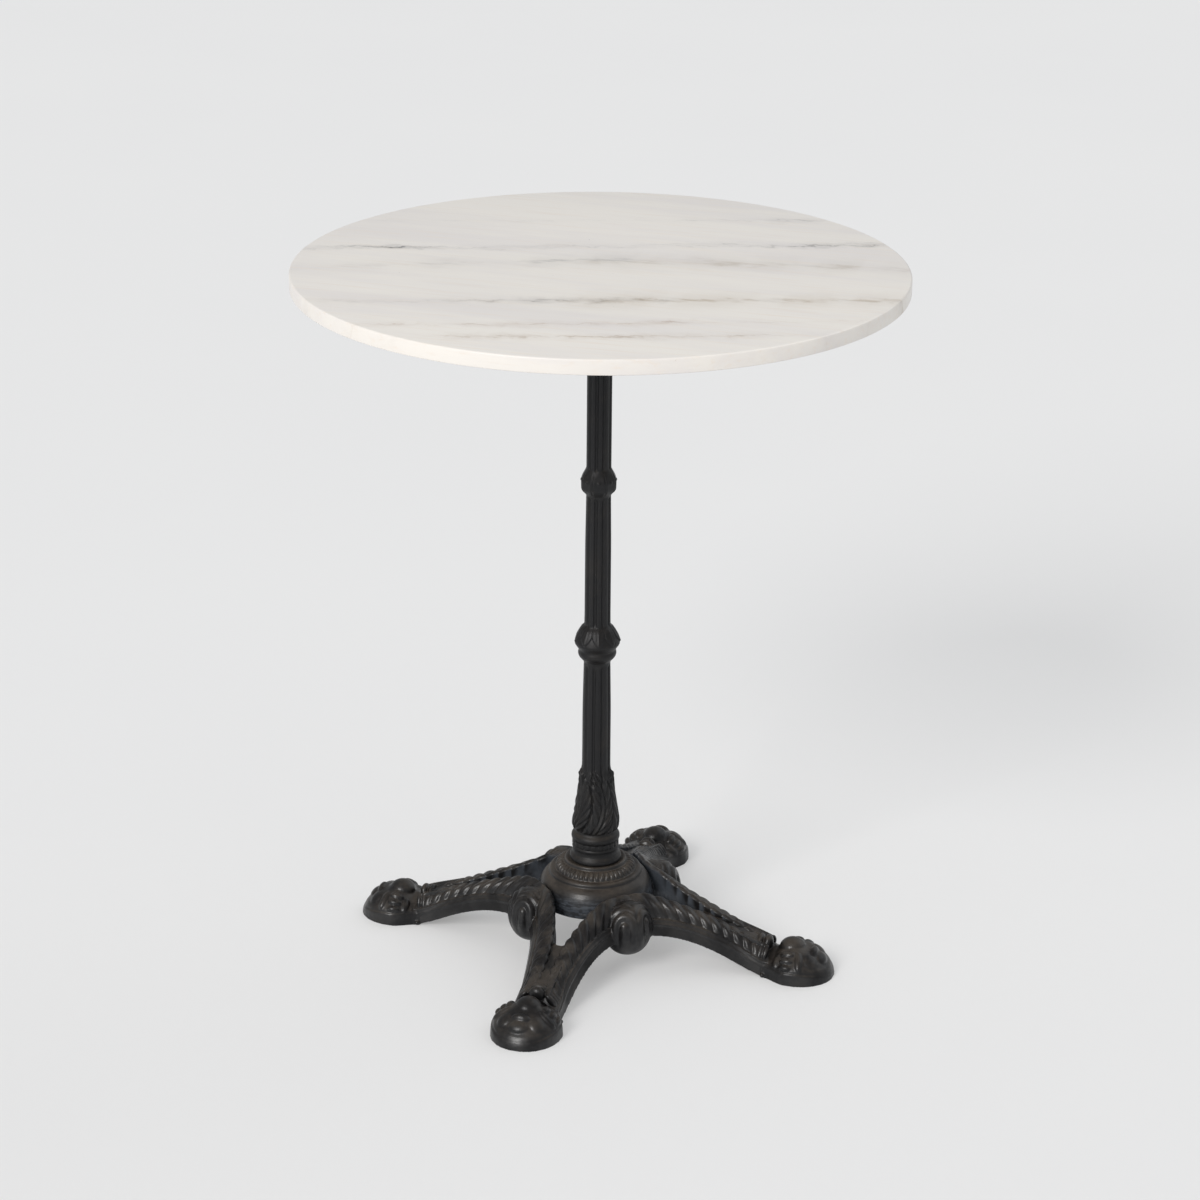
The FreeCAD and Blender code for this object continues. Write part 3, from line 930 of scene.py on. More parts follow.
@dataclass
class Column:
    """The hollow column: flutes on three lengths of shaft, collar, knop, leaf sheath, ring and plinth."""

    bore: float = 7.0
    spigot: float = 15.0
    flutes: int = 10
    flute_depth: float = 1.35
    flute_half_width: float = 1.75
    flute_turn: float = -84.3
    facets: int = 8
    facet_turn: float = -72.0
    petals: int = 9
    leaves: int = 5
    beads: int = 21
    bead_depth: float = 1.1
    sheath_turn: float = -72.85
    columns: int = 224
    fine: float = 1.0
    coarse: float = 7.0

    def outline(self) -> np.ndarray:
        """Half section as radius and height, from the spigot up the outside and down the bore.

        Returns:
            Points (N, 2) in millimetres.
        """
        low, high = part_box("column")
        bottom, top = low.z / MM, high.z / MM
        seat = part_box("base_casting")[1].z / MM
        foot = [(self.spigot, bottom), (self.spigot, seat), (26.2, seat), (26.5, seat + 1.6),
                (26.2, seat + 4.5), (25.2, 102.2), (24.0, 103.6), (23.5, 104.6), (23.3, 108.4),
                (23.7, 109.2), (24.0, 110.3),
                (23.6, 111.5), (22.8, 112.2), (22.7, 117.4), (23.4, 118.0), (24.5, 119.2), (24.8, 121.5),
                (24.4, 123.8), (23.2, 125.3), (21.6, 126.8), (20.7, 129.0)]
        sheath = [(21.8, 131.6), (22.6, 136.0), (22.3, 142.0), (20.8, 150.0), (19.2, 160.0), (17.6, 170.0),
                  (16.8, 180.0), (16.4, 190.0), (15.0, 196.0), (14.4, 199.0)]
        low_shaft = [(14.3, 230.0), (14.3, 262.0), (13.6, 300.0)]
        knop = [(13.4, 312.8), (14.3, 314.4), (16.2, 316.4), (18.2, 318.6), (19.2, 321.0), (19.4, 323.2),
                (18.7, 325.2), (18.5, 326.2), (19.6, 328.0), (21.4, 330.6), (22.7, 332.6), (22.9, 334.2),
                (21.9, 337.0), (20.6, 340.4), (18.9, 343.6), (17.0, 347.0), (14.9, 350.2), (13.2, 353.0)]
        mid_shaft = [(13.0, 362.0), (12.9, 440.0), (12.3, 484.0)]
        collar = [(12.3, 489.6), (13.4, 491.4), (15.6, 493.6), (17.1, 495.8), (17.7, 497.6), (17.9, 505.0),
                  (17.0, 508.4), (15.4, 512.0), (13.6, 515.4), (12.3, 518.0)]
        high_shaft = [(12.3, 522.0), (12.3, 610.0), (12.3, top - 26.0)]
        capital = [(12.6, top - 22.0), (14.4, top - 17.5), (17.0, top - 15.6), (17.8, top - 13.0),
                   (17.9, top - 0.6), (17.3, top), (self.bore, top), (self.bore, bottom)]
        corners = foot + sheath + low_shaft + knop + mid_shaft + collar + high_shaft + capital
        long_run = 18.0
        spans = [math.dist(a, b) for a, b in zip(corners[:-1], corners[1:])]
        steps = [self.coarse if span > long_run else self.fine for span in spans]
        return soften(resample(corners, steps), 2)

    def flute_relief(self, angle: np.ndarray, radius: np.ndarray, height: np.ndarray) -> np.ndarray:
        """Scooped grooves, each the lower half of an ellipse, on the three lengths of shaft only.

        Args:
            angle: angles round the axis in radians.
            radius: distances from the axis in millimetres.
            height: heights in millimetres.

        Returns:
            Height of the relief in millimetres.
        """
        turn = (angle - math.radians(self.flute_turn)) * self.flutes / (2 * np.pi)
        offset = (turn - np.round(turn)) * 2 * np.pi * radius / self.flutes
        scoop = np.sqrt(np.clip(1 - (offset / self.flute_half_width) ** 2, 0, None))
        crown = 0.35 * np.cos(2 * np.pi * turn)
        low = ease(height, 178.0, 184.0) * (1 - ease(height, 306.0, 312.0))
        mid = ease(height, 350.0, 357.0) * (1 - ease(height, 486.0, 490.0))
        high = ease(height, 516.0, 520.0) * (1 - ease(height, 636.0, 644.0))
        return -(self.flute_depth * scoop + crown * 0.6) * (low + mid + high)

    def collar_relief(self, angle: np.ndarray, radius: np.ndarray, height: np.ndarray) -> np.ndarray:
        """Eight flat facets parted by grooves, each with a bead a little above its middle.

        Args:
            angle: angles round the axis in radians.
            radius: distances from the axis in millimetres.
            height: heights in millimetres.

        Returns:
            Height of the relief in millimetres.
        """
        turn = (angle - math.radians(self.facet_turn)) * self.facets / (2 * np.pi)
        share = turn - np.round(turn)
        inside = ease(height, 491.0, 495.5) * (1 - ease(height, 511.0, 515.5))
        flat = (1 / np.cos(share * 2 * np.pi / self.facets) - 1.0) * radius - 0.9
        groove = -1.3 * np.exp(-(((np.abs(share) - 0.5) * 2 * np.pi * radius / self.facets / 0.9) ** 2))
        arc = share * 2 * np.pi * radius / self.facets
        bead = 0.9 * np.clip(1 - (arc / 1.6) ** 2 - ((height - 506.0) / 1.6) ** 2, 0, None) ** 0.5
        return inside * (flat + groove + 0.5) + bead

    def knop_relief(self, angle: np.ndarray, height: np.ndarray) -> np.ndarray:
        """Pointed petals that hang over the knop's cone, each with a fine midrib, above a plain lip.

        Args:
            angle: angles round the axis in radians.
            height: heights in millimetres.

        Returns:
            Height of the relief in millimetres.
        """
        turn = angle * self.petals / (2 * np.pi) + 0.2
        share = turn - np.floor(turn) - 0.5
        tip = 335.0 + 9.0 * np.abs(2 * share) ** 1.3
        on_cone = ease(height, tip - 0.4, tip + 0.9) * (1 - ease(height, 348.5, 353.0))
        parting = 0.6 * bump(np.abs(share), 0.5, 0.05)
        return on_cone * (1.15 - parting + 0.45 * bump(share, 0.0, 0.06))

    def sheath_relief(self, angle: np.ndarray, height: np.ndarray) -> np.ndarray:
        """Acanthus leaves whose midribs bow to one side, with curved strokes that climb away from them.

        Args:
            angle: angles round the axis in radians.
            height: heights in millimetres.

        Returns:
            Height of the relief in millimetres.
        """
        rise = np.clip((height - 130.0) / 64.0, 0.0, 1.0)
        bow = np.radians(self.sheath_turn - 6.0 + 31.0 * np.sin(np.pi * rise) ** 0.85)
        turn = (angle - bow) * self.leaves / (2 * np.pi)
        share = 2 * (turn - np.round(turn))
        side = np.abs(share)
        tip = 198.0 - 12.0 * side ** 1.6
        on_leaf = ease(height, 129.0, 131.0) * (1 - ease(height, tip - 2.6, tip))
        strokes = ridge((height - 27.0 * side ** 0.75) / 12.5 + 0.25 * np.sign(share), 1.7)
        body = 1.2 * (1 - side ** 4) + 1.5 * (strokes - 0.4) * ease(side, 0.08, 0.35) * (1 - 0.5 * side ** 6)
        midrib = 1.0 * np.exp(-((share / 0.085) ** 2)) - 0.9 * np.exp(-(((side - 0.19) / 0.07) ** 2))
        parting = -1.5 * np.exp(-(((side - 1.0) / 0.07) ** 2))
        return on_leaf * (body + midrib + parting - 0.1)

    def foot_relief(self, angle: np.ndarray, height: np.ndarray) -> np.ndarray:
        """A band of short upright beads with square ends under the ring.

        Args:
            angle: angles round the axis in radians.
            height: heights in millimetres.

        Returns:
            Height of the relief in millimetres.
        """
        band = ease(height, 112.2, 113.0) * (1 - ease(height, 116.9, 117.7))
        return self.bead_depth * ridge(angle * self.beads / (2 * np.pi), 5.0) * band

    def build(self, material: bpy.types.Material) -> None:
        """Make the column.

        Args:
            material: the finish it is dressed in.
        """
        outline = self.outline()
        radius, height = outline[:, :1], outline[:, 1:]
        angle = np.linspace(0, 2 * np.pi, self.columns, endpoint=False)[None, :]
        relief = (self.flute_relief(angle, radius, height) + self.collar_relief(angle, radius, height)
                  + self.knop_relief(angle, height) + self.sheath_relief(angle, height)
                  + self.foot_relief(angle, height))
        outside = (radius > self.bore + 1.0) & (height > outline[0, 1] + 6.5)
        points = lathe(radius + np.where(outside, relief, 0.0), height, angle)
        piece = make_mesh("column_casting", [Patch(points, closed_rows=True)])
        settle(piece, material, "black_iron", "column")


# Base casting -------------------------------------------------------------------------------


@dataclass
class Hub:
    """The bell of the base: a ringed crown, a band of beads, a torus and a round shoulder.

    cast_depth is the unevenness of the band below the shoulder.
    """

    beads: int = 44
    bead_depth: float = 2.1
    cast_depth: float = 0.35
    columns: int = 420
    step: float = 1.1

    def outline(self) -> np.ndarray:
        """Half section as radius and height, closed from the seat over the outside to the hollow.

        Returns:
            Points (N, 2) in millimetres.
        """
        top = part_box("base_casting")[1].z / MM
        corners = [(15.2, top - 6.2), (15.2, top), (28.2, top), (28.8, top + 0.9), (30.0, top + 1.3),
                   (31.1, top + 0.7), (31.5, top - 0.8), (31.6, top - 2.4), (32.6, top - 2.9),
                   (35.5, top - 3.6), (38.4, top - 5.6), (40.2, top - 8.6), (40.6, top - 9.8),
                   (42.0, top - 10.4), (43.4, top - 9.9), (45.0, top - 9.9), (46.6, top - 10.8),
                   (47.4, top - 12.4), (47.4, top - 14.2), (48.2, top - 15.0), (50.6, top - 16.4),
                   (53.2, top - 19.0), (55.6, top - 22.8), (57.4, top - 27.4), (58.6, top - 33.0),
                   (59.2, top - 36.4), (59.0, top - 37.4), (59.6, top - 38.4), (59.9, top - 42.4),
                   (59.2, top - 43.6), (53.4, top - 43.6), (52.8, top - 42.0), (51.6, top - 30.0),
                   (47.0, top - 20.0), (40.0, top - 16.8), (27.0, top - 16.0), (6.6, top - 16.0),
                   (6.6, top - 6.2)]
        return soften(resample(corners, self.step), 1)

    def build(self, material: bpy.types.Material) -> None:
        """Make the hub.

        Args:
            material: the finish it is dressed in.
        """
        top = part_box("base_casting")[1].z / MM
        outline = self.outline()
        radius, height = outline[:, :1], outline[:, 1:]
        angle = np.linspace(0, 2 * np.pi, self.columns, endpoint=False)[None, :]
        band = ease(radius, 32.6, 34.2) * (1 - ease(radius, 39.4, 41.0)) * (height > top - 12)
        swell = self.bead_depth * (ridge(angle * self.beads / (2 * np.pi), 2.4) - 0.45) * band
        waves = np.sin(7 * angle + 0.4 * height) * np.cos(11 * angle - 0.9)
        cast = self.cast_depth * waves * bump(height, top - 38, 6.0)
        points = lathe(radius + 0.55 * swell + cast, height + 0.83 * swell, angle)
        piece = make_mesh("base_hub", [Patch(points, closed_rows=True)])
        settle(piece, material, "black_iron", "base_casting")


def hyperbola(centre: float, vertex: float, stretch: np.ndarray) -> tuple[np.ndarray, np.ndarray]:
    """Points of (x - c)(y - c) = (v - c)^2: x = c + (v - c) s and y = c + (v - c) / s.

    Args:
        centre: c, where its two asymptotes cross.
        vertex: v, its nearest point.
        stretch: s, which is 1 at the vertex.

    Returns:
        The points' x and y.
    """
    span = vertex - centre
    return centre + span * stretch, centre + span / stretch


@dataclass
class Arch:
    """One arch of the base from foot to foot: a hollow rail with a gadrooned band, and its console."""

    outer_centre: float = 12.0
    outer_vertex: float = 59.0
    inner_centre: float = -21.0
    inner_vertex: float = 39.5
    reach: float = 3.85
    stations: int = 460
    underside_height: float = 39.0
    underside_start: float = 64.0
    underside_fall: float = 113.5
    crest_height: float = 77.0
    crest_start: float = 58.0
    crest_slope: float = 0.37
    fascia_height: float = 16.5
    fascia_share: float = 0.24
    crest_share: float = 0.81
    ankle_share: float = 0.64
    wall: float = 5.0
    gadroon_depth: float = 2.6
    gadroon_pitch: float = 11.5
    pitch_fall: float = 0.018
    gadroon_lean: float = 1.0
    console_centre: float = 73.0
    console_height: float = 47.5
    console_radii: tuple = (23.5, 25.0, 27.5)
    console_pitch: float = 0.45
    voxel: float = 0.00088
    profile_counts: tuple = (26, 6, 44, 8, 30)

    def underside(self, along: np.ndarray) -> np.ndarray:
        """Height of the lower edge: level by the hub, then a parabola that straightens to the floor.

        Args:
            along: distances from the axis along the nearer foot.

        Returns:
            Heights in millimetres.
        """
        fall = np.clip(along - self.underside_start, 0, None) / self.underside_fall
        last = 16.8 * np.clip((188.0 - along) / 38.0, 0, 1) ** 1.19
        return np.where(along < 150.0, self.underside_height * (1 - fall ** 2), last) + 0.3

    def crest(self, along: np.ndarray) -> np.ndarray:
        """Height of the crest: level beside the hub, then a straight fall to the ankle.

        Args:
            along: distances from the axis along the nearer foot.

        Returns:
            Heights in millimetres.
        """
        fall = self.crest_slope * np.clip(along - self.crest_start, 0, None)
        return self.crest_height - fall - 11.0 * ease(along, 188.0, 205.0)

    def rail(self) -> Patch:
        """The hollow rail.

        Each section is upright, between an outer and an inner hyperbola. Its outside climbs the
        smooth fascia, crosses a groove and the gadrooned band to the crest and drops down the inner
        face; the inside goes back under it one wall thickness away.

        Returns:
            The closed shell.
        """
        stretch = self.reach ** np.linspace(-1, 1, self.stations)[:, None]
        outer = np.stack(hyperbola(self.outer_centre, self.outer_vertex, stretch), -1)
        inner = np.stack(hyperbola(self.inner_centre, self.inner_vertex, stretch), -1)
        width = np.linalg.norm(inner - outer, axis=-1)
        low = self.underside(outer.max(-1))
        high = self.crest(inner.max(-1))
        stepped = np.linalg.norm(np.diff(outer[:, 0], axis=0), axis=-1)
        length = np.concatenate([[0.0], np.cumsum(stepped)])[:, None]
        length = np.abs(length - length[self.stations // 2])
        phase = -np.log(1 - self.pitch_fall * length / self.gadroon_pitch) / self.pitch_fall
        across, up = self.outside(width, low, high, phase, length, outer.max(-1))
        inside_across, inside_up = self.inside(width, low, high)
        across = np.hstack([across, inside_across[:, ::-1]])
        up = np.hstack([up, inside_up[:, ::-1]])
        share = (across / width)[..., None]
        flat = outer + share * (inner - outer)
        return Patch(np.concatenate([flat, up[..., None]], -1), cap=Cap.STRIP)

    def outside(self, width: np.ndarray, low: np.ndarray, high: np.ndarray, phase: np.ndarray,
                length: np.ndarray, along: np.ndarray) -> tuple[np.ndarray, np.ndarray]:
        """Distance across and height of the outside, from the lower outer edge to the lower inner one.

        The gadroons are rounded ridges with sharp valleys that lean towards the hub as they climb,
        and they roll over the crest a little way down the inner face.

        Args:
            width: widths of the rail's sections.
            low: heights of the lower edge.
            high: heights of the crest.
            phase: position along the gadroons.
            length: distance from the arch's middle.
            along: distances from the axis along the nearer foot.

        Returns:
            Both, one row for each section.
        """
        fascia, groove, band, top, face = self.profile_counts
        low, high = low + 0 * width, high + 0 * width
        start = self.fascia_share * width * (1 - 0.7 * ease(along, 150.0, 186.0))
        narrowing = (self.crest_share - self.ankle_share) * ease(along, 118.0, 182.0)
        crest_share = self.crest_share - 0.02 - narrowing
        q = np.linspace(0, 1, fascia)[None, :]
        across = [start * q ** 1.15 - 1.1 * bump(q, 0.70, 0.07)]
        up = [low + self.fascia_height * q]
        q = np.linspace(0, 1, groove + 2)[None, 1:-1]
        across.append(start + 2.2 * q + 1.1 * np.sin(np.pi * q))
        up.append(low + self.fascia_height + 0.6 * q - 1.1 * np.sin(np.pi * q))
        q = np.linspace(0, 1, band)[None, :]
        first = (start + 2.2, low + self.fascia_height + 0.6)
        last = (crest_share * width, high)
        run, rise = last[0] - first[0], last[1] - first[1]
        slant = np.hypot(run, rise)
        fade = 0.55 + 0.45 * ease(length, 14.0, 34.0)
        lobes = ridge(phase + self.gadroon_lean * q ** 1.4 + 0.5, 1.9)
        depth = self.gadroon_depth * (0.62 + 0.38 * np.sin(np.pi * q ** 0.8) ** 0.7)
        lift = 3.0 * np.sin(np.pi * q) + depth * fade * (lobes - 0.6)
        across.append(first[0] + run * q - lift * rise / slant)
        up.append(first[1] + rise * q + lift * run / slant)
        roll = 0.62 * self.gadroon_depth * fade * (ridge(phase + self.gadroon_lean + 0.5, 1.9) - 0.6)
        q = np.linspace(0, 1, top + 2)[None, 1:-1]
        across.append(last[0] + 3.6 * q - roll * rise / slant * (1 - 2 * q))
        up.append(high + 1.3 * np.sin(np.pi * q) - 1.4 * q + roll)
        q = np.linspace(0, 1, face)[None, :]
        down = (high - 1.4 - low - 1.5) * q
        across.append(last[0] + 3.6 + (width - last[0] - 3.6) * q ** 1.3
                      + (roll + 0.6) * (1 - ease(down, 3.0, 14.0)))
        up.append(high - 1.4 - down + roll * (1 - ease(down, 0.0, 5.0)))
        return np.hstack(across), np.hstack(up)

    def inside(self, width: np.ndarray, low: np.ndarray, high: np.ndarray) -> tuple[np.ndarray, np.ndarray]:
        """Distance across and height of the channel under the rail, point for point with the outside.

        Args:
            width: widths of the rail's sections.
            low: heights of the lower edge.
            high: heights of the crest.

        Returns:
            Both, one row for each section.
        """
        count = sum(self.profile_counts)
        q = np.linspace(0, 1, count)[None, :]
        roof = np.clip(high - 1.6 * self.wall, low + 2.0, None)
        shelf = np.minimum(low + self.fascia_height - self.wall, roof)
        across = self.wall + (width - 2 * self.wall) * np.interp(q, [0, 0.2, 0.62, 1], [0, 0.1, 0.82, 1])
        up = low + (shelf - low) * np.interp(q, [0, 0.2], [0, 1])
        up = up + (roof - shelf) * np.interp(q, [0.2, 0.62], [0, 1])
        up = up - (roof - low - 1.5) * np.interp(q, [0.68, 1], [0, 1])
        return across, up

    def console(self) -> Patch:
        """The shell-like lobe: an ellipsoid with two groups of nested arched ribs above a smooth tongue.

        It is (a cos^0.8 e cos t, b cos^0.8 e sin t, c sin e) times a swell. The ribs follow the distance
        from the upright line at t = 0.62, and above e = 0.38 the distance from that line's upper end.

        Returns:
            The closed shell.
        """
        rise = np.linspace(-0.495 * np.pi, 0.495 * np.pi, 130)[:, None]
        turn = np.linspace(-np.pi, np.pi, 260, endpoint=False)[None, :]
        apart = np.hypot(np.abs(turn) - 0.62, 0.95 * np.clip(rise - 0.38, 0, None))
        ribs = ridge(apart / self.console_pitch + 0.5, 1.9)
        strength = 0.105 * ease(rise, -0.60, -0.05) * np.cos(rise) ** 0.7
        swell = 1 + strength * (ribs - 0.6)
        away, side, tall = self.console_radii
        out = away * swell * np.cos(rise) ** 0.8 * np.cos(turn)
        lateral = side * swell * np.cos(rise) ** 0.8 * np.sin(turn)
        up = tall * swell * np.sin(rise)
        return Patch(self.on_diagonal(out + self.console_centre, lateral, up + self.console_height))

    def on_diagonal(self, out: np.ndarray, side: np.ndarray, up: np.ndarray) -> np.ndarray:
        """Points given by distance out along the diagonal, distance to its left, and height.

        Args:
            out: distances from the axis.
            side: distances to the left.
            up: heights.

        Returns:
            Points (..., 3).
        """
        half = math.sqrt(0.5)
        out, side, up = np.broadcast_arrays(out, side, up)
        return np.stack([half * (out - side), half * (out + side), up], -1)

    def build(self, material: bpy.types.Material) -> None:
        """Make the four arches.

        Args:
            material: the finish it is dressed in.
        """
        first = make_mesh("base_arch_1", [self.rail(), self.console()])
        fuse_shells(first, self.voxel, 1)
        arches = [first] + [turned_copy(first, f"base_arch_{turns + 1}", turns) for turns in (1, 2, 3)]
        for arch in arches:
            settle(arch, material, "black_iron", "base_casting")


@dataclass
class Foot:
    """One paw: a smooth band and hoof, knuckled toes, a leaf cuff at the ankle and the valley web."""

    heel: float = 184.0
    middle: float = 214.0
    tip: float = 255.0
    half_width: float = 36.0
    ankle_half_width: float = 24.6
    wall: float = 5.5
    groove_share: float = 0.93
    spine: tuple = ((184, 26), (190, 25), (197, 26), (204, 31), (214, 33.5))
    brow: tuple = ((0, 33.5), (0.20, 31.8), (0.34, 28.2), (0.476, 27.0), (0.56, 25.2), (0.64, 22.6),
                   (0.76, 18), (0.88, 12.6), (0.94, 8.6), (0.985, 4.0), (1, 0))
    side_toe: float = 0.54
    voxel: float = 0.0008

    def outline(self, place: np.ndarray) -> tuple[np.ndarray, np.ndarray, np.ndarray]:
        """The sole's edge and the point of the spine that each of its points is joined to.

        Args:
            place: from -1 to 1; up to half way it runs round the hoof as half a superellipse, beyond
                that it runs back to the ankle along a smooth step, and at 1 it closes across it.

        Returns:
            Distance along the foot, distance to the side, and distance along of the spine point.
        """
        turn = np.clip(place, -0.5, 0.5) * np.pi
        back = np.clip((np.abs(place) - 0.5) / 0.42, 0.0, 1.0)
        close = np.clip((1.0 - np.abs(place)) / 0.08, 0.0, 1.0)
        along = self.middle + (self.tip - self.middle) * np.cos(turn) ** 0.95
        along = along - (self.middle - self.heel) * back
        narrow = self.half_width - (self.half_width - self.ankle_half_width) * ease(back, 0.0, 1.0)
        side = narrow * np.sign(place) * np.abs(np.sin(turn)) ** 0.95 * close
        return along, side, np.minimum(along, self.middle)

    def skin(self, place: np.ndarray, share: np.ndarray) -> np.ndarray:
        """Points of the outside; share runs from 1 at the sole's edge to 0 on the spine.

        Round the sides the section climbs an upright band, crosses a groove and follows a quarter
        ellipse to the spine, more hollow towards the ankle. In front it is the hoof's own profile.

        Args:
            place: position round the sole, as for the outline.
            share: position up the skin, from 1 at the sole's edge to 0 on the spine.

        Returns:
            Points (rows, columns, 3) in millimetres.
        """
        along, side, centre = self.outline(place)
        crown = np.interp(centre, *np.transpose(self.spine))
        hollow = ease(self.middle - along, 2.0, 24.0)
        inner = np.clip(share / self.groove_share, 0.0, 1.0)
        dome = (1 - hollow) * (1 - inner ** 1.7) ** 0.8 + hollow * (1 - inner ** 1.2)
        band = np.interp(share, (self.groove_share, 0.955, 0.975, 0.99, 1.0), (13.8, 13.2, 12.0, 8.0, 0.0))
        flank = np.where(share < self.groove_share, 14.6 + (crown - 14.6) * dome, band)
        hoof = np.interp(share, *np.transpose(self.brow))
        front = np.cos(np.clip(place, -0.5, 0.5) * np.pi) ** 2
        groove = 1.7 * bump(share, 0.938, 0.012) * (1 - 0.8 * front)
        height = np.clip((1 - front) * flank + front * hoof - groove, 0, None)
        return np.stack(np.broadcast_arrays(centre + (along - centre) * share, side * share, height), -1)

    def hoof(self) -> Patch:
        """The hollow body: the skin outside, and inside it the same shape one wall lower and smaller.

        Returns:
            The closed shell.
        """
        share = np.concatenate([np.linspace(1.0, 0.92, 22), np.linspace(0.90, 0.004, 50)])[:, None]
        place = np.linspace(-1, 1, 220, endpoint=False)[None, :]
        outside = self.skin(place, share)
        centre = self.outline(place)[2]
        inside = outside[::-1].copy()
        less = 1 - self.wall / self.half_width
        inside[..., 0] = centre + (inside[..., 0] - centre) * less
        inside[..., 1] *= less
        inside[..., 2] = np.clip(inside[..., 2] - self.wall, 0, None)
        return Patch(np.vstack([outside, inside]), closed_rows=True)

    def pad(self, place: float, share: float, radii: Sequence[float], sink: float = 0.25) -> Patch:
        """A lump on the skin: an ellipsoid whose third axis is the skin's normal, partly sunk into it.

        Args:
            place: position round the sole, as for the outline.
            share: position up the skin, from 1 at the sole's edge to 0 on the spine.
            radii: its three half sizes.
            sink: how deep it sits, as a part of its third one.

        Returns:
            The closed shell.
        """
        grid = self.skin(np.array([place, place + 0.01, place]), np.array([share, share, share - 0.02]))
        first, second = Vector(grid[1] - grid[0]), Vector(grid[2] - grid[0])
        normal = first.cross(second).normalized()
        normal = normal if normal.z > 0 else -normal
        first.normalize()
        frame_axes = Matrix((first, normal.cross(first), normal)).transposed()
        return lump(Vector(grid[0]) - normal * (sink * radii[2]), radii, frame_axes.to_4x4())

    def toes(self) -> Iterable[Patch]:
        """Three lumps between two upright rolls on each flank, knuckles in front and on top, and a pad.

        Returns:
            The closed shells, one by one.
        """
        for hand in (-1, 1):
            for share, size in ((0.872, 6.2), (0.715, 7.2), (0.53, 7.6)):
                yield self.pad(hand * self.side_toe, share, (size, size * 0.56, size * 0.55), 0.30)
            yield self.pad(hand * 0.395, 0.70, (4.4, 11.5, 4.0), 0.42)
            yield self.pad(hand * 0.69, 0.72, (4.6, 9.0, 3.6), 0.40)
        yield lump((212.0, 0, 26.0), (14.0, 13.5, 11.6))
        for hand in (-1, 1):
            yield self.pad(0.24 * hand, 0.70, (8.8, 9.6, 4.2), 0.60)
            yield lump((187.0, 25.4 * hand, 2.7), (2.8, 2.4, 2.4))
        yield lump((234.0, 0, 22.6), (4.8, 10.5, 7.8))
        yield self.pad(0.0, 0.70, (10.6, 7.6, 4.8), 0.50)

    def cuff(self) -> Iterable[Patch]:
        """A rolled leaf end over the ankle, a second roll behind it and three leaf fingers each side.

        Returns:
            The closed shells, one by one.
        """
        yield lump((186.4, 0, 28.4), (4.8, 8.4, 8.2))
        yield lump((178.6, 0, 27.8), (4.0, 9.8, 8.8))
        for hand in (-1, 1):
            for along, size in ((176.5, 9.5), (182.0, 10.0), (187.4, 8.4)):
                slope = Matrix.Rotation(hand * 0.62, 4, "X") @ Matrix.Rotation(0.12, 4, "Y")
                yield lump((along, 15.6 * hand, 23.8), (3.1, 3.6, size), slope)

    def web(self) -> Patch:
        """The sloping, slightly dished web between the two arms.

        Returns:
            The closed shell.
        """
        along = np.linspace(104.0, 186.0, 60)[:, None]
        side = np.linspace(-1, 1, 24)[None, :]
        half = np.interp(along, [104.0, 120.0, 186.0], [13.2, 13.5, 13.5])
        top = np.interp(along, [104.0, 112.0, 150.0, 178.0, 186.0], [45.5, 49.5, 40.0, 31.0, 28.0])
        top = top + 3.5 * side ** 2
        tip = (1 - ease(along, 104.0, 118.0)) * 9.0 * (1 - side ** 2)
        upper = np.stack([along + tip, half * side, top], -1)
        lower = upper - np.array([0.0, 0.0, 6.0])
        return Patch(np.concatenate([upper, lower[:, ::-1]], 1), cap=Cap.STRIP)

    def build(self, material: bpy.types.Material) -> None:
        """Make the four feet.

        Args:
            material: the finish it is dressed in.
        """
        first = make_mesh("base_foot_1", [self.hoof(), self.web(), *self.toes(), *self.cuff()])
        fuse_shells(first, self.voxel, 1)
        feet = [first] + [turned_copy(first, f"base_foot_{turns + 1}", turns) for turns in (1, 2, 3)]
        for foot in feet:
            settle(foot, material, "black_iron", "base_casting")


# Stage --------------------------------------------------------------------------------------


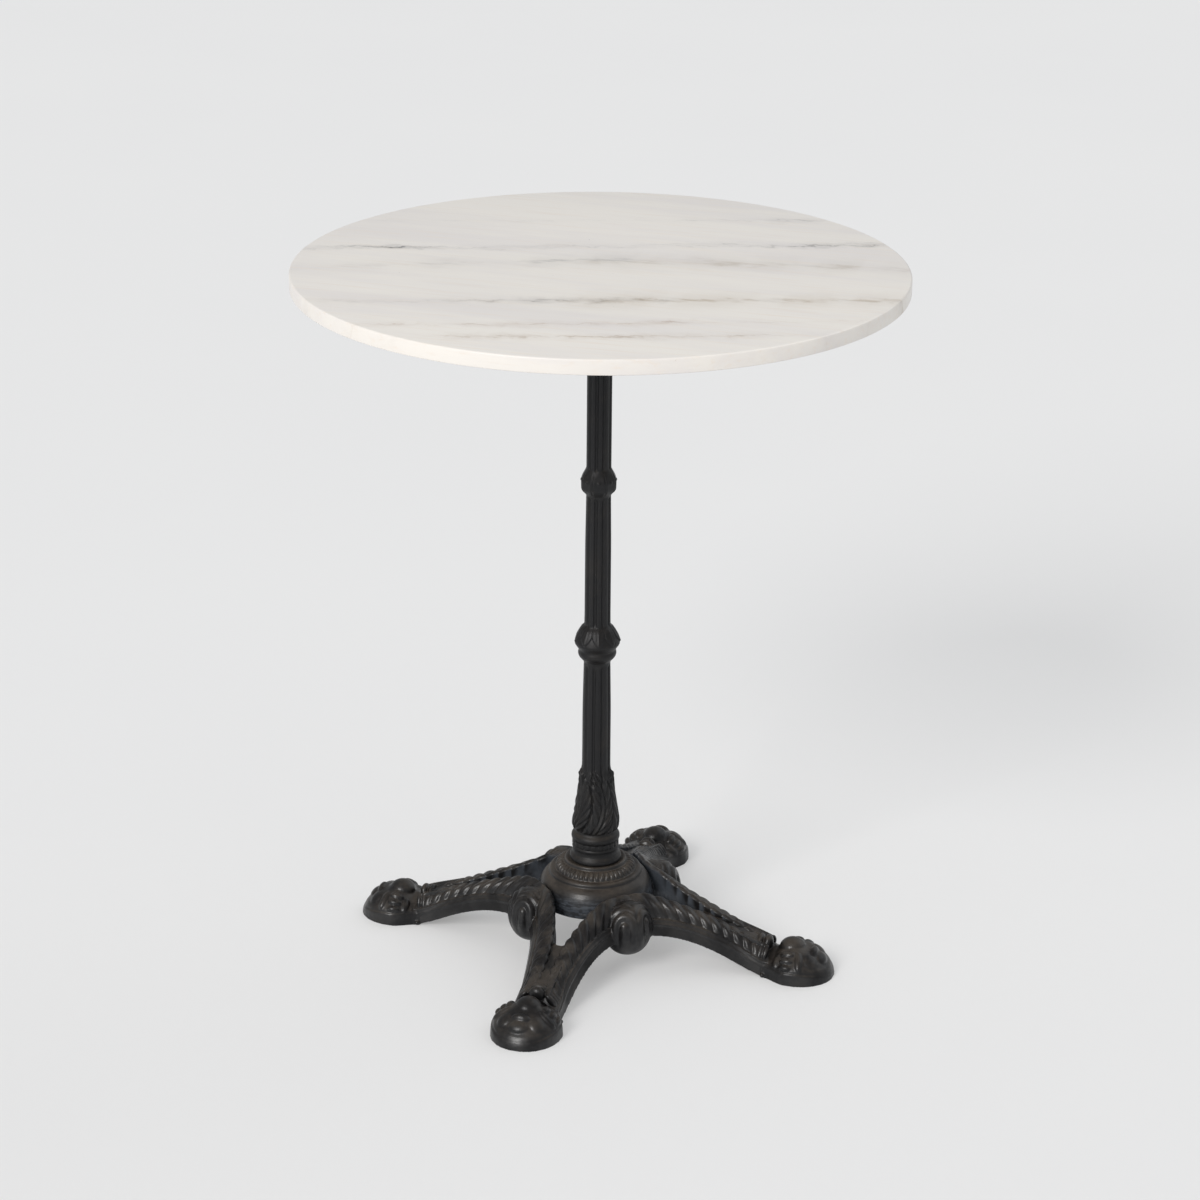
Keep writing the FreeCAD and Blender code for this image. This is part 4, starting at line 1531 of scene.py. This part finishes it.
@dataclass
class Studio:
    """The floor, the soft light and the camera."""

    camera_distance: float = 3.305
    camera_height: float = 1.6373
    pitch: float = 20.858
    yaw: float = 0.04
    roll: float = 0.538
    focal_share: float = 3540.7 / 1200.0
    sensor: float = 36.0
    floor_radius: float = 30.0
    background: tuple = colour(233, 233, 232)
    room_light: float = 0.62
    reflected_room: float = 0.40

    def floor(self) -> None:
        """A wide round floor."""
        turn = np.linspace(0, 2 * np.pi, 96, endpoint=False)[None, :]
        ring = np.array([[0.001], [1.0], [5.0], [self.floor_radius]]) / MM
        points = lathe(ring, 0 * ring, turn)
        mesh = make_mesh("floor", [Patch(points, cap=Cap.NONE)])
        if mesh.data.polygons[0].normal.z < 0:
            mesh.data.flip_normals()
        dress(mesh, PaleFloor().build())

    def world(self) -> None:
        """Even light from all round, a plain background for the camera and a darker room in reflections."""
        world = bpy.data.worlds.new("studio")
        world.use_nodes = True
        tree = world.node_tree
        tree.nodes.clear()
        output = tree.nodes.new("ShaderNodeOutputWorld")
        seen = tree.nodes.new("ShaderNodeBackground")
        seen.inputs["Color"].default_value = self.background
        light = tree.nodes.new("ShaderNodeBackground")
        light.inputs["Color"].default_value = (0.97, 0.985, 1.0, 1.0)
        light.inputs["Strength"].default_value = self.room_light
        room = tree.nodes.new("ShaderNodeBackground")
        room.inputs["Color"].default_value = (0.93, 0.97, 1.0, 1.0)
        room.inputs["Strength"].default_value = self.reflected_room
        rays = tree.nodes.new("ShaderNodeLightPath")
        glossy = tree.nodes.new("ShaderNodeMixShader")
        mix = tree.nodes.new("ShaderNodeMixShader")
        tree.links.new(rays.outputs["Is Glossy Ray"], glossy.inputs[0])
        tree.links.new(light.outputs[0], glossy.inputs[1])
        tree.links.new(room.outputs[0], glossy.inputs[2])
        tree.links.new(rays.outputs["Is Camera Ray"], mix.inputs[0])
        tree.links.new(glossy.outputs[0], mix.inputs[1])
        tree.links.new(seen.outputs[0], mix.inputs[2])
        tree.links.new(mix.outputs[0], output.inputs["Surface"])
        bpy.context.scene.world = world

    def lamp(self, name: str, toward: Sequence[float], angle: float, power: float,
             tint: Sequence[float]) -> None:
        """One soft distant lamp whose light comes from a direction given in the camera's frame.

        Args:
            name: the name it gets.
            toward: where it stands, as seen with the camera in front.
            angle: its width in degrees.
            power: its strength.
            tint: its colour.
        """
        data = bpy.data.lights.new(name, "SUN")
        data.angle = math.radians(angle)
        data.energy = power
        data.color = tint
        lamp = bpy.data.objects.new(name, data)
        bpy.context.scene.collection.objects.link(lamp)
        spot = Matrix.Rotation(math.radians(FRONT_TURN), 4, "Z") @ Vector(toward)
        lamp.location = spot
        lamp.rotation_mode = "QUATERNION"
        lamp.rotation_quaternion = (-spot).to_track_quat("-Z", "Y")

    def lamps(self) -> None:
        """A broad window light from the left and a fainter one from the right and behind."""
        self.lamp("window", (-1.95, -2.9, 2.25), 24.0, 1.86, (1.0, 0.985, 0.965))
        self.lamp("fill", (2.4, 1.6, 2.2), 50.0, 0.35, (0.90, 0.95, 1.0))

    def camera(self) -> None:
        """The camera, from its distance, height, pitch, yaw and roll."""
        data = bpy.data.cameras.new("camera")
        data.sensor_width = self.sensor
        data.lens = self.focal_share * self.sensor
        data.clip_start, data.clip_end = 0.05, 100.0
        camera = bpy.data.objects.new("camera", data)
        bpy.context.scene.collection.objects.link(camera)
        turn = Matrix.Rotation(math.radians(FRONT_TURN - self.yaw), 4, "Z")
        tilt = Matrix.Rotation(math.radians(90.0 - self.pitch), 4, "X")
        roll = Matrix.Rotation(math.radians(self.roll), 4, "Z")
        spin = Matrix.Rotation(math.radians(FRONT_TURN), 4, "Z")
        place = spin @ Vector((0, -self.camera_distance, self.camera_height))
        camera.matrix_world = Matrix.Translation(place) @ turn @ tilt @ roll
        bpy.context.scene.camera = camera

    def build(self) -> None:
        """Set the stage."""
        self.floor()
        self.world()
        self.lamps()
        self.camera()
        settings = bpy.context.scene.view_settings
        settings.view_transform = "Standard"


@dataclass
class Hardware:
    """The CAD nodes that keep their own shape: the spider, its fixings and the rod's hardware."""

    slots: dict = field(default_factory=lambda: {
        "top_spider": "black_iron",
        "top_inserts": "insert_brass",
        "spider_pads": "pad_rubber",
        "spider_screws": "zinc_steel",
        "spider_washers": "zinc_steel",
        "tie_rod": "zinc_steel",
        "rod_top_washer": "zinc_steel",
        "rod_top_spring_washer": "zinc_steel",
        "rod_top_nut": "zinc_steel",
        "rod_bottom_plate": "zinc_steel",
        "rod_bottom_spring_washer": "zinc_steel",
        "rod_bottom_nut": "zinc_steel",
    })

    def build(self, finishes: dict) -> None:
        """Give each node its finish.

        Args:
            finishes: the finished materials by name.
        """
        for node, slot in self.slots.items():
            dress(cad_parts[node], finishes[slot])
            log.info("%s: %s", node, slot)


def main() -> None:
    """Build the finishes, the pieces and the stage, in that order."""
    logging.basicConfig(level=logging.INFO, format="%(name)s %(message)s")
    finishes = {kind.name: kind.build()
                for kind in (CastIron(), HonedMarble(), ZincSteel(), TurnedBrass(), BlackRubber())}
    Slab().build(finishes["marble"])
    Column().build(finishes["black_iron"])
    Hub().build(finishes["black_iron"])
    Arch().build(finishes["black_iron"])
    Foot().build(finishes["black_iron"])
    Hardware().build(finishes)
    Studio().build()


if __name__ == "__main__":
    main()
